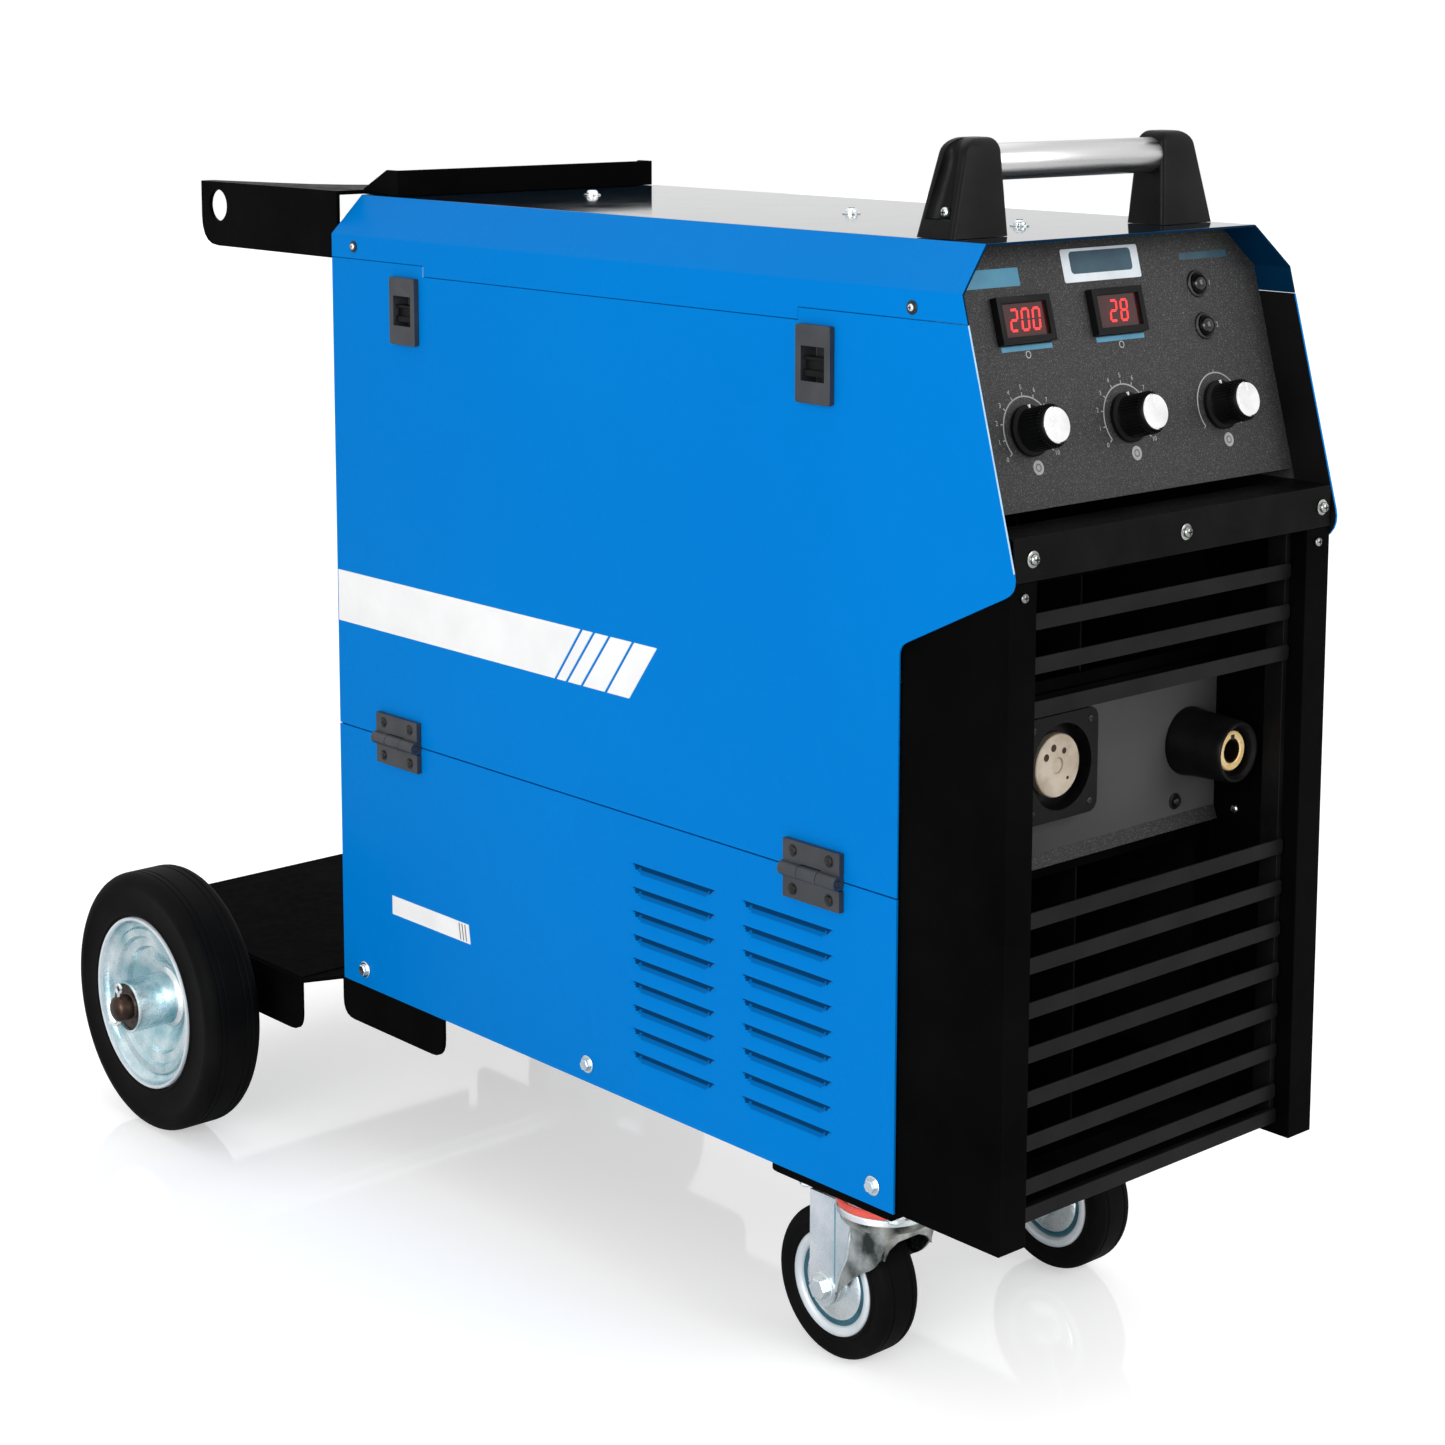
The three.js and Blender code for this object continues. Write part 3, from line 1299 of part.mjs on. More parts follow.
function rearTyre() {
  const half = REAR_WHEEL_WIDTH / 2;
  const shoulder = REAR_TYRE_SHOULDER;
  const [outer, inner] = [round(REAR_WHEEL_RADIUS), REAR_RIM_RADIUS];
  const profile = [
    [inner, -half],
    [outer - shoulder, -half],
    [outer - shoulder * 0.3, -half + shoulder * 0.3],
    [outer, -half + shoulder],
    [outer, half - shoulder],
    [outer - shoulder * 0.3, half - shoulder * 0.3],
    [outer - shoulder, half],
    [inner, half],
    [inner, -half],
  ];
  return turnedX(profile, WHEEL_SIDES, 0, 0, 0);
}

// Rim with a dished disc; its hub reaches from the carriage skirt to beyond the outer face.
function rearRim() {
  const half = REAR_WHEEL_WIDTH / 2;
  const rim = REAR_RIM_RADIUS - CLEAR;
  const bore = AXLE_RADIUS + CLEAR;
  const hubIn = REAR_WHEEL_X - CARRIAGE_HALF - CLEAR;
  const hubOut = half + REAR_HUB_OUT;
  const face = half - REAR_DISH_DEPTH;
  const profile = [
    [bore, -hubIn],
    [REAR_HUB_RADIUS, -hubIn],
    [REAR_HUB_RADIUS, face - REAR_DISC_THICK - REAR_DISC_CONE],
    [rim - REAR_RIM_LIP - 8, face - REAR_DISC_THICK],
    [rim - REAR_RIM_LIP, -half],
    [rim, -half],
    [rim, half],
    [rim - REAR_RIM_LIP, half],
    [rim - REAR_RIM_LIP - 6, face],
    [REAR_HUB_RADIUS, face - REAR_DISC_CONE],
    [REAR_HUB_RADIUS, hubOut],
    [bore, hubOut],
    [bore, -hubIn],
  ];
  return turnedX(profile, WHEEL_SIDES, 0, 0, 0);
}

function rearAxle() {
  return rod("x", AXLE_RADIUS, -AXLE_HALF_LENGTH, AXLE_HALF_LENGTH, AXLE_Y, REAR_WHEEL_RADIUS);
}

add("rear_carriage", rearCarriage(), BLACK);
add("rear_axle", rearAxle(), ZINC);
[-1, 1].forEach((side) => {
  const turn = side < 0 ? Math.PI : 0;
  const group = groupAt(side * REAR_WHEEL_X, AXLE_Y, REAR_WHEEL_RADIUS, turn);
  const label = side < 0 ? "left" : "right";
  add(`rear_tyre_${label}`, rearTyre(), RUBBER, group);
  add(`rear_rim_${label}`, rearRim(), ZINC, group);
});

// ---------------------------------------------------------------- front casters

function mountPlate() {
  const low = CASTER_HEIGHT + CLEAR;
  return prismZ(
    [
      [-HALF, MOUNT_PLATE_FRONT],
      [HALF, MOUNT_PLATE_FRONT],
      [HALF, MOUNT_PLATE_REAR, MOUNT_PLATE_CORNER],
      [-HALF, MOUNT_PLATE_REAR, MOUNT_PLATE_CORNER],
    ],
    low,
    low + MOUNT_PLATE_THICK,
  );
}

const CROWN_TOP = CASTER_HEIGHT - CASTER_PLATE_THICK - CASTER_RACE_HEIGHT - CLEAR;

// Fixed top plate with the upper half of the swivel race.
function casterPlate() {
  const [half, wide] = [CASTER_PLATE_LENGTH / 2, CASTER_PLATE_WIDTH / 2];
  const plateFoot = CASTER_HEIGHT - CASTER_PLATE_THICK;
  const plate = prismZ(
    [
      [-wide, -half, 6],
      [wide, -half, 6],
      [wide, half, 6],
      [-wide, half, 6],
    ],
    plateFoot,
    CASTER_HEIGHT,
  );
  const raceFoot = CROWN_TOP + CLEAR;
  const race = rod("z", CASTER_RACE_RADIUS - 3, raceFoot, plateFoot + 1, 0, 0, 24, CASTER_RACE_RADIUS);
  return join(plate, race);
}

// Swivelling crown, two legs and the wheel bolt.
function casterFork() {
  const crown = rod("z", CASTER_CROWN_RADIUS, CROWN_TOP - FORK_SHEET, CROWN_TOP, 0, 0, 28);
  const axle = [CASTER_TRAIL, CASTER_WHEEL_RADIUS];
  const legFront = CASTER_TRAIL + 12 - FORK_LEG_WIDTH;
  const leg = [
    [CASTER_TRAIL + 12, CROWN_TOP, 0],
    [legFront, CROWN_TOP, 0],
    [legFront, CROWN_TOP - 22, 10],
    [CASTER_TRAIL - FORK_LEG_FOOT, CASTER_WHEEL_RADIUS, 4],
    [CASTER_TRAIL - 8, CASTER_WHEEL_RADIUS - FORK_LEG_FOOT, 6],
    [CASTER_TRAIL + 9, CASTER_WHEEL_RADIUS - FORK_LEG_FOOT, 6],
    [CASTER_TRAIL + 12, CASTER_WHEEL_RADIUS, 2],
  ];
  const outside = FORK_INSIDE + FORK_SHEET;
  const bridge = block(
    -outside,
    outside,
    legFront,
    CASTER_TRAIL + 12,
    CROWN_TOP - FORK_SHEET,
    CROWN_TOP,
  );
  const head = (x0, x1) => rod("x", CASTER_BOLT_HEAD_RADIUS, x0, x1, ...axle, 6);
  return join(
    crown,
    bridge,
    prismX(leg, -outside, -FORK_INSIDE),
    prismX(leg, FORK_INSIDE, outside),
    rod("x", CASTER_BOLT_RADIUS, -outside - 2, outside + 2, ...axle, 16),
    head(-outside - CASTER_BOLT_HEAD, -outside + 1),
    head(outside - 1, outside + CASTER_BOLT_HEAD),
  );
}

// Rubber tyre on a rim, turned as one wheel, with hub ends that meet the fork.
function casterWheel() {
  const half = CASTER_WHEEL_WIDTH / 2;
  const outer = round(CASTER_WHEEL_RADIUS);
  const bore = CASTER_BOLT_RADIUS + CLEAR;
  const hub = FORK_INSIDE - CLEAR;
  const face = half - CASTER_RIM_SETBACK;
  const shoulder = CASTER_TYRE_SHOULDER;
  const side = (s) => [
    [bore, s * hub],
    [CASTER_HUB_RADIUS, s * hub],
    [CASTER_HUB_RADIUS, s * face],
    [CASTER_RIM_RADIUS - 2, s * face],
    [CASTER_RIM_RADIUS + 1, s * half],
    [outer - shoulder, s * half],
    [outer - shoulder * 0.3, s * (half - shoulder * 0.3)],
    [outer, s * (half - shoulder)],
  ];
  const profile = [...side(-1), ...side(1).reverse(), [bore, -hub]];
  return turnedX(profile, WHEEL_SIDES, 0, 0, 0);
}

add("front_mount_plate", mountPlate(), BLACK);
[-1, 1].forEach((side) => {
  const label = side < 0 ? "left" : "right";
  const group = groupAt((side * CASTER_TRACK) / 2, CASTER_Y, 0);
  add(`caster_plate_${label}`, casterPlate(), ZINC, group);
  add(`caster_fork_${label}`, casterFork(), ZINC, group);
  const wheel = add(`caster_wheel_${label}`, casterWheel(), RUBBER, group);
  wheel.position.set(0, CASTER_TRAIL, CASTER_WHEEL_RADIUS);
});

// ---------------------------------------------------------------- door furniture

const HINGE_X = -HALF - CLEAR - HINGE_THICK / 2 - 2.4; // knuckle axis, outside the sheets
const LEAF_INNER = -HALF - CLEAR;

// One hinge leaf with its knuckles, about the origin at the knuckle axis.
function hingeLeaf(up, knuckles, pin) {
  const inner = LEAF_INNER - HINGE_X;
  const outer = inner - HINGE_THICK;
  const half = HINGE_LENGTH / 2;
  const reach = KNUCKLE_RADIUS + KNUCKLE_GAP;
  const [z0, z1] = up > 0 ? [reach, HINGE_LEAF] : [-HINGE_LEAF, -reach];
  const pieces = [block(outer, inner, -half, half, z0, z1)];
  const [w0, w1] = up > 0 ? [0, reach + 1] : [-reach - 1, 0];
  for (const [y0, y1] of knuckles) {
    pieces.push(rod("y", KNUCKLE_RADIUS, y0, y1, 0, 0, 20));
    pieces.push(block(outer, inner - 0.8, y0, y1, w0, w1));
  }
  let leaf = join(...pieces);
  if (pin) return join(leaf, rod("y", HINGE_PIN_RADIUS, -half, half, 0, 0, 16));
  return cut(leaf, rod("y", HINGE_PIN_RADIUS + CLEAR, -half - 1, half + 1, 0, 0, 16));
}

function hingePair(label, y) {
  const half = HINGE_LENGTH / 2;
  const third = HINGE_LENGTH / 6;
  const group = groupAt(HINGE_X, y, HINGE_HEIGHT);
  const middle = [[-third, third]];
  const ends = [
    [-half, -third - KNUCKLE_GAP],
    [third + KNUCKLE_GAP, half],
  ];
  add(`hinge_fixed_${label}`, hingeLeaf(-1, middle, true), DARK_GREY, group);
  add(`hinge_door_${label}`, hingeLeaf(1, ends, false), DARK_GREY, group);
}

// Latch body: a flange outside the door and a box through it, with a finger pocket.
function latchBody() {
  const half = LATCH_WIDTH / 2;
  const boxHalf = LATCH_BOX_WIDTH / 2;
  const outer = -HALF - CLEAR - LATCH_OUT;
  const low = -LATCH_HEIGHT;
  const flange = prismX(
    [
      [-half, low, 2],
      [half, low, 2],
      [half, 0, 2],
      [-half, 0, 2],
    ],
    outer,
    -HALF - CLEAR,
  );
  const end = outer + LATCH_OUT + LATCH_BOX_DEPTH;
  const box = block(outer + 1, end, -boxHalf, boxHalf, low + LATCH_BOX_INSET, -LATCH_BOX_INSET);
  const pocketHalf = boxHalf - LATCH_WALL;
  const pocketFoot = -LATCH_POCKET_TOP - LATCH_POCKET_HEIGHT;
  const pocket = block(outer - 1, end - LATCH_WALL, -pocketHalf, pocketHalf, pocketFoot, -LATCH_POCKET_TOP);
  const hidden = block(
    outer + LATCH_WALL,
    end - LATCH_WALL,
    -pocketHalf,
    pocketHalf,
    low + LATCH_BOX_INSET + LATCH_WALL,
    -LATCH_POCKET_TOP,
  );
  return cut(join(flange, box), pocket, hidden);
}

// Slider behind the latch's skin; it hides under the skin when it is pushed down.
function latchSlider() {
  const outer = -HALF - CLEAR - LATCH_OUT + LATCH_WALL + CLEAR;
  const half = LATCH_BOX_WIDTH / 2 - LATCH_WALL - CLEAR;
  const foot = -LATCH_HEIGHT + LATCH_BOX_INSET + LATCH_WALL + CLEAR + SLIDER_TRAVEL;
  const top = foot + SLIDER_HEIGHT;
  const plate = block(outer, outer + SLIDER_THICK, -half, half, foot, top);
  const grip = block(outer - 1, outer + SLIDER_GRIP, -half - 1, half + 1, top - 8, top - 2);
  return cut(plate, grip);
}

HINGE_POSITIONS.forEach((y, i) => hingePair(i ? "rear" : "front", y));
LATCH_POSITIONS.forEach((y, i) => {
  const group = groupAt(0, y, LATCH_TOP);
  add(`latch_body_${i ? "rear" : "front"}`, latchBody(), DARK_GREY, group);
  add(`latch_slider_${i ? "rear" : "front"}`, latchSlider(), DARK_PLASTIC, group);
});

// ---------------------------------------------------------------- wire feed

const HUB_SEAT = DIVIDER_X - CLEAR;
const SPOOL_RIGHT = HUB_SEAT - HUB_FLANGE - CLEAR;
const SPOOL_LEFT = SPOOL_RIGHT - SPOOL_WIDTH;

// Braked spindle on the partition; profiles run from its flange towards the door.
function spoolHub() {
  const length = HUB_FLANGE + CLEAR + SPOOL_WIDTH + CLEAR;
  const profile = [
    [0, -length - HUB_CAP],
    [HUB_CAP_RADIUS - 3, -length - HUB_CAP],
    [HUB_CAP_RADIUS, -length - HUB_CAP + 3],
    [HUB_CAP_RADIUS, -length],
    [HUB_RADIUS, -length],
    [HUB_RADIUS, -HUB_FLANGE],
    [HUB_FLANGE_RADIUS, -HUB_FLANGE],
    [HUB_FLANGE_RADIUS, 0],
    [0, 0],
  ];
  return turnedX(profile, 28, HUB_SEAT, SPOOL_Y, SPOOL_Z);
}

function wireSpool() {
  const profile = [
    [SPOOL_BORE_RADIUS, SPOOL_LEFT],
    [SPOOL_RADIUS, SPOOL_LEFT],
    [SPOOL_RADIUS, SPOOL_LEFT + SPOOL_FLANGE],
    [SPOOL_WIRE_RADIUS, SPOOL_LEFT + SPOOL_FLANGE],
    [SPOOL_WIRE_RADIUS, SPOOL_RIGHT - SPOOL_FLANGE],
    [SPOOL_RADIUS, SPOOL_RIGHT - SPOOL_FLANGE],
    [SPOOL_RADIUS, SPOOL_RIGHT],
    [SPOOL_BORE_RADIUS, SPOOL_RIGHT],
    [SPOOL_BORE_RADIUS, SPOOL_LEFT],
  ];
  const reel = turnedX(profile, 36, 0, SPOOL_Y, SPOOL_Z);
  const windows = [];
  const reach = (SPOOL_CORE_RADIUS + SPOOL_WIRE_RADIUS) / 2;
  for (let i = 0; i < 4; i++) {
    const angle = Math.PI / 4 + (i * Math.PI) / 2;
    const [y, z] = [SPOOL_Y + reach * Math.cos(angle), SPOOL_Z + reach * Math.sin(angle)];
    windows.push(rod("x", SPOOL_CORE_RADIUS / 2, SPOOL_LEFT - 1, SPOOL_LEFT + SPOOL_FLANGE, y, z, 16));
  }
  return cut(reel, ...windows);
}

const ROLL_AXIS_Z = FEED_Z - DRIVE_ROLL_RADIUS - WIRE_GAP / 2;
const PRESSURE_AXIS_Z = FEED_Z + PRESSURE_ROLL_RADIUS + WIRE_GAP / 2;
const BLOCK_LEFT = DIVIDER_X - CLEAR - FEED_BLOCK_THICK;
const PIVOT_Y = FEED_Y + ARM_PIVOT_BACK;
const PIVOT_Z = FEED_Z + ARM_PIVOT_UP;
const TENSION_Y = FEED_Y - TENSION_FORWARD;
const PIN_END = BLOCK_LEFT - FEED_PIN_LENGTH;

// Cast body on the partition, with the motor behind it and the pins for rolls and levers.
function feeder() {
  const half = FEED_BLOCK_LENGTH / 2;
  const seat = DIVIDER_X - CLEAR;
  const low = FEED_Z - FEED_BLOCK_BELOW - DRIVE_ROLL_RADIUS;
  const body = prismX(
    [
      [FEED_Y - half, low, 6],
      [FEED_Y + half, low, 6],
      [FEED_Y + half, PIVOT_Z + FEED_BLOCK_ABOVE, 6],
      [PIVOT_Y - 12, PIVOT_Z + FEED_BLOCK_ABOVE, 4],
      [PIVOT_Y - 18, FEED_Z + FEED_BLOCK_ABOVE, 4],
      [FEED_Y - half, FEED_Z + FEED_BLOCK_ABOVE, 6],
    ],
    BLOCK_LEFT,
    seat,
  );
  const pin = (y, z) => rod("x", FEED_PIN_RADIUS, PIN_END, BLOCK_LEFT + 1, y, z, 16);
  const motor = rod("x", MOTOR_RADIUS, seat - 1, DIVIDER_RIGHT + MOTOR_LENGTH, FEED_Y, ROLL_AXIS_Z);
  return join(body, motor, pin(FEED_Y, ROLL_AXIS_Z), pin(PIVOT_Y, PIVOT_Z));
}

// A grooved roll on a pin.
function roll(radius, bore, x0, y, z, sides) {
  const width = DRIVE_ROLL_WIDTH;
  const profile = [
    [bore, 0],
    [radius, 0],
    [radius, width * 0.4],
    [radius - 1, width * 0.5],
    [radius, width * 0.6],
    [radius, width],
    [bore, width],
    [bore, 0],
  ];
  return turnedX(profile, sides, x0, y, z);
}

const ROLL_RIGHT = BLOCK_LEFT - CLEAR;
const ROLL_LEFT = ROLL_RIGHT - DRIVE_ROLL_WIDTH;
const ARM_RIGHT = ROLL_LEFT - CLEAR;
const ARM_LEFT = ARM_RIGHT - ARM_THICK;

const TENSION_X = (ARM_LEFT + BLOCK_LEFT) / 2;

// Arm from its pivot over the pressure roll to a tip that carries the tension knob.
function pressureArm() {
  const half = ARM_WIDTH / 2;
  const tipY = PIVOT_Y - ARM_REACH;
  const bar = prismX(
    [
      [PIVOT_Y + half, PIVOT_Z - half, 5],
      [PIVOT_Y + half, PIVOT_Z + half, 5],
      [tipY, PIVOT_Z + half, 3],
      [tipY, PIVOT_Z - half, 3],
    ],
    ARM_LEFT,
    BLOCK_LEFT - CLEAR,
  );
  const rollSpace = block(
    ROLL_LEFT - CLEAR,
    BLOCK_LEFT,
    FEED_Y - PRESSURE_ROLL_RADIUS - 2,
    FEED_Y + PRESSURE_ROLL_RADIUS + 2,
    PIVOT_Z - half - 1,
    PIVOT_Z + half + 1,
  );
  const [low, high] = [PIVOT_Z - half - 1, PIVOT_Z + half + 1];
  const stemHole = rod("z", TENSION_STEM_RADIUS + CLEAR, low, high, TENSION_X, TENSION_Y, 16);
  const bore = rod("x", FEED_PIN_RADIUS + CLEAR, ARM_LEFT - 1, BLOCK_LEFT, PIVOT_Y, PIVOT_Z, 16);
  const ear = rod("x", half, ARM_LEFT, ARM_RIGHT, FEED_Y, PRESSURE_AXIS_Z, 20);
  const pin = rod("x", FEED_PIN_RADIUS, ARM_RIGHT - 1, ROLL_RIGHT, FEED_Y, PRESSURE_AXIS_Z, 16);
  return join(cut(join(bar, ear), rollSpace, stemHole, bore), pin);
}

// Knob on the arm's tip, its stem standing through the arm.
function tensionKnob() {
  const [x, y] = [TENSION_X, TENSION_Y];
  const knobFoot = PIVOT_Z + ARM_WIDTH / 2 + CLEAR;
  const knobTop = knobFoot + TENSION_KNOB_LENGTH;
  const stemEnd = PIVOT_Z - ARM_WIDTH / 2 - TENSION_STEM_BELOW;
  return join(
    rod("z", TENSION_STEM_RADIUS, stemEnd, knobFoot + 1, x, y, 16),
    rod("z", TENSION_KNOB_RADIUS, knobFoot, knobTop, x, y, 20, TENSION_KNOB_RADIUS - 2),
  );
}

add("spool_hub", spoolHub(), DARK_PLASTIC);
add("wire_spool", wireSpool(), SPOOL_PLASTIC);
add("wire_feeder", feeder(), ALUMINIUM);
const rollBore = FEED_PIN_RADIUS + CLEAR;
add("drive_roll", roll(DRIVE_ROLL_RADIUS, rollBore, ROLL_LEFT, FEED_Y, ROLL_AXIS_Z, 28), ZINC);
const pressureRoll = roll(PRESSURE_ROLL_RADIUS, rollBore, ROLL_LEFT, FEED_Y, PRESSURE_AXIS_Z, 24);
add("pressure_roll", pressureRoll, ZINC);
add("pressure_arm", pressureArm(), BLACK);
add("tension_knob", tensionKnob(), DARK_PLASTIC);

// ---------------------------------------------------------------- power section

function transformer() {
  const [x, y] = [TRANSFORMER_X, TRANSFORMER_Y];
  const low = FLOOR_IN;
  const core = (w, l, z0, z1) => block(x - w / 2, x + w / 2, y - l / 2, y + l / 2, z0, z1);
  const coilFoot = low + (CORE_HEIGHT - COIL_HEIGHT) / 2;
  return join(
    core(CORE_WIDTH, CORE_LENGTH, low, low + CORE_HEIGHT),
    core(COIL_WIDTH, COIL_LENGTH, coilFoot, coilFoot + COIL_HEIGHT),
    core(COIL_WIDTH, CORE_LENGTH, low, low + CORE_FOOT),
  );
}

function heatSink() {
  const seat = DIVIDER_RIGHT + CLEAR;
  const pieces = [
    block(seat, seat + SINK_BASE, SINK_Y, SINK_Y + SINK_LENGTH, SINK_Z, SINK_Z + SINK_HEIGHT),
  ];
  const pitch = (SINK_HEIGHT - SINK_FIN_THICK) / (SINK_FINS - 1);
  for (let i = 0; i < SINK_FINS; i++) {
    const z = SINK_Z + i * pitch;
    const [x0, x1] = [seat + SINK_BASE - 1, seat + SINK_DEPTH];
    pieces.push(block(x0, x1, SINK_Y, SINK_Y + SINK_LENGTH, z, z + SINK_FIN_THICK));
  }
  return join(...pieces);
}

add("transformer", transformer(), COPPER);
add("heat_sink", heatSink(), ALUMINIUM);

// ---------------------------------------------------------------- rear panel fittings

const FAN_REAR = REAR_INNER - CLEAR;
const FAN_FRONT = FAN_REAR - FAN_DEPTH;

function fanFrame() {
  const half = FAN_SIZE / 2;
  const at = [FAN_X, FAN_Z];
  const shell = cut(
    block(FAN_X - half, FAN_X + half, FAN_FRONT, FAN_REAR, FAN_Z - half, FAN_Z + half),
    rod("y", FAN_BORE_RADIUS, FAN_FRONT - 1, FAN_REAR + 1, ...at, 40),
  );
  const strutRear = FAN_FRONT + FAN_STRUT;
  const reach = FAN_BORE_RADIUS + 1;
  const thin = FAN_STRUT / 2;
  return join(
    shell,
    rod("y", FAN_HUB_RADIUS, FAN_FRONT, strutRear, ...at),
    block(FAN_X - reach, FAN_X + reach, FAN_FRONT, strutRear, FAN_Z - thin, FAN_Z + thin),
    block(FAN_X - thin, FAN_X + thin, FAN_FRONT, strutRear, FAN_Z - reach, FAN_Z + reach),
    rod("y", FAN_SHAFT_RADIUS, strutRear - 1, FAN_REAR - FAN_STRUT, ...at, 16),
  );
}

function fanRotor() {
  const front = FAN_FRONT + FAN_STRUT + CLEAR;
  const length = FAN_REAR - CLEAR - front - 2;
  const pieces = [rod("y", FAN_HUB_RADIUS, front, front + length, FAN_X, FAN_Z)];
  const span = FAN_BORE_RADIUS - FAN_TIP_GAP - FAN_HUB_RADIUS + 4;
  const chord = (length - 4) / Math.sin(FAN_BLADE_PITCH);
  for (let i = 0; i < FAN_BLADES; i++) {
    const blade = new THREE.BoxGeometry(FAN_BLADE_THICK, chord, span);
    blade.rotateZ(Math.PI / 2 - FAN_BLADE_PITCH);
    blade.translate(0, 0, FAN_HUB_RADIUS - 4 + span / 2);
    blade.rotateY((i * 2 * Math.PI) / FAN_BLADES);
    blade.translate(FAN_X, front + length / 2, FAN_Z);
    pieces.push(solidOf(blade));
  }
  const tipLimit = rod("y", FAN_BORE_RADIUS - FAN_TIP_GAP, front, front + length, FAN_X, FAN_Z, 40);
  const bore = rod("y", FAN_SHAFT_RADIUS + CLEAR, front - 1, FAN_REAR - FAN_STRUT + 1, FAN_X, FAN_Z, 16);
  return cut(join(...pieces).intersect(tipLimit), bore);
}

const SWITCH_FACE = REAR_FACE + CLEAR + SWITCH_PLATE_OUT;

function switchBody() {
  const half = SWITCH_PLATE / 2;
  const bodyHalf = SWITCH_BODY / 2;
  const at = [SWITCH_X, SWITCH_Z];
  const plate = prismY(
    [
      [SWITCH_X - half, SWITCH_Z - half, 5],
      [SWITCH_X + half, SWITCH_Z - half, 5],
      [SWITCH_X + half, SWITCH_Z + half, 5],
      [SWITCH_X - half, SWITCH_Z + half, 5],
    ],
    REAR_FACE + CLEAR,
    SWITCH_FACE,
  );
  const body = block(
    SWITCH_X - bodyHalf,
    SWITCH_X + bodyHalf,
    REAR_INNER - CLEAR - SWITCH_BODY_DEPTH,
    REAR_INNER - CLEAR,
    SWITCH_Z - bodyHalf,
    SWITCH_Z + bodyHalf,
  );
  const neck = rod("y", SWITCH_HOLE_RADIUS - CLEAR, REAR_INNER - 1, SWITCH_FACE - 1, ...at);
  const shaft = rod("y", SWITCH_SHAFT_RADIUS, SWITCH_FACE - 1, SWITCH_FACE + SWITCH_LEVER_OUT, ...at, 16);
  return join(plate, body, neck, shaft);
}

function switchLever() {
  const face = SWITCH_FACE + CLEAR;
  const at = [SWITCH_X, SWITCH_Z];
  const disc = rod("y", SWITCH_LEVER_RADIUS, face, face + SWITCH_LEVER_OUT, ...at, 28);
  const [wide, long] = [SWITCH_GRIP_WIDTH / 2, SWITCH_GRIP_LENGTH / 2];
  const grip = prismY(
    [
      [SWITCH_X - wide, SWITCH_Z - long, 4],
      [SWITCH_X + wide, SWITCH_Z - long, 4],
      [SWITCH_X + wide, SWITCH_Z + long, 4],
      [SWITCH_X - wide, SWITCH_Z + long, 4],
    ],
    face + SWITCH_LEVER_OUT - 4,
    face + SWITCH_LEVER_OUT + SWITCH_GRIP_OUT,
  );
  const bore = rod("y", SWITCH_SHAFT_RADIUS + CLEAR, face - 1, face + SWITCH_LEVER_OUT + 1, ...at, 16);
  return cut(join(disc, grip), bore);
}

function cableGland() {
  const seat = REAR_FACE + CLEAR;
  const at = [GLAND_X, GLAND_Z];
  const nutIn = REAR_INNER - CLEAR;
  return cut(
    join(
      rod("y", GLAND_THREAD_RADIUS, nutIn - 8, seat + 1, ...at),
      rod("y", GLAND_NUT_RADIUS, nutIn - 5, nutIn, ...at, 6),
      rod("y", GLAND_NUT_RADIUS, seat, seat + 8, ...at, 6),
      rod("y", GLAND_NUT_RADIUS - 2, seat + 7, seat + GLAND_OUT, ...at, 24, GLAND_BORE_RADIUS + 3),
    ),
    rod("y", GLAND_BORE_RADIUS, nutIn - 9, seat + GLAND_OUT + 1, ...at, 20),
  );
}

// Gas inlet nipple outside, with the solenoid valve on it inside.
function gasInlet() {
  const seat = REAR_FACE + CLEAR;
  const at = [GAS_X, GAS_Z];
  const inside = REAR_INNER - CLEAR;
  const half = GAS_VALVE / 2;
  return cut(
    join(
      rod("y", GAS_THREAD_RADIUS, inside - 1, seat + GAS_OUT, ...at),
      rod("y", GAS_NUT_RADIUS, seat, seat + 6, ...at, 6),
      block(GAS_X - half, GAS_X + half, inside - GAS_VALVE, inside, GAS_Z - half, GAS_Z + half),
      rod("z", half - 3, GAS_Z + half - 1, GAS_Z + half + GAS_VALVE, GAS_X, inside - half),
    ),
    rod("y", GAS_BORE_RADIUS, inside - 4, seat + GAS_OUT + 1, ...at, 16),
  );
}

add("fan_frame", fanFrame(), BLACK);
add("fan_rotor", fanRotor(), DARK_PLASTIC);
add("mains_switch_body", switchBody(), DARK_PLASTIC);
add("mains_switch_lever", switchLever(), GLOSS_BLACK);
add("cable_gland", cableGland(), DARK_PLASTIC);
add("gas_inlet", gasInlet(), BRASS);

machine.position.y = -new THREE.Box3().setFromObject(machine, true).getCenter(new THREE.Vector3()).y;

export default machine;
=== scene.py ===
import json
from math import copysign, cos, hypot, pi, radians, sin, sqrt, tan
import bmesh
import bpy
from mathutils import Matrix, Vector


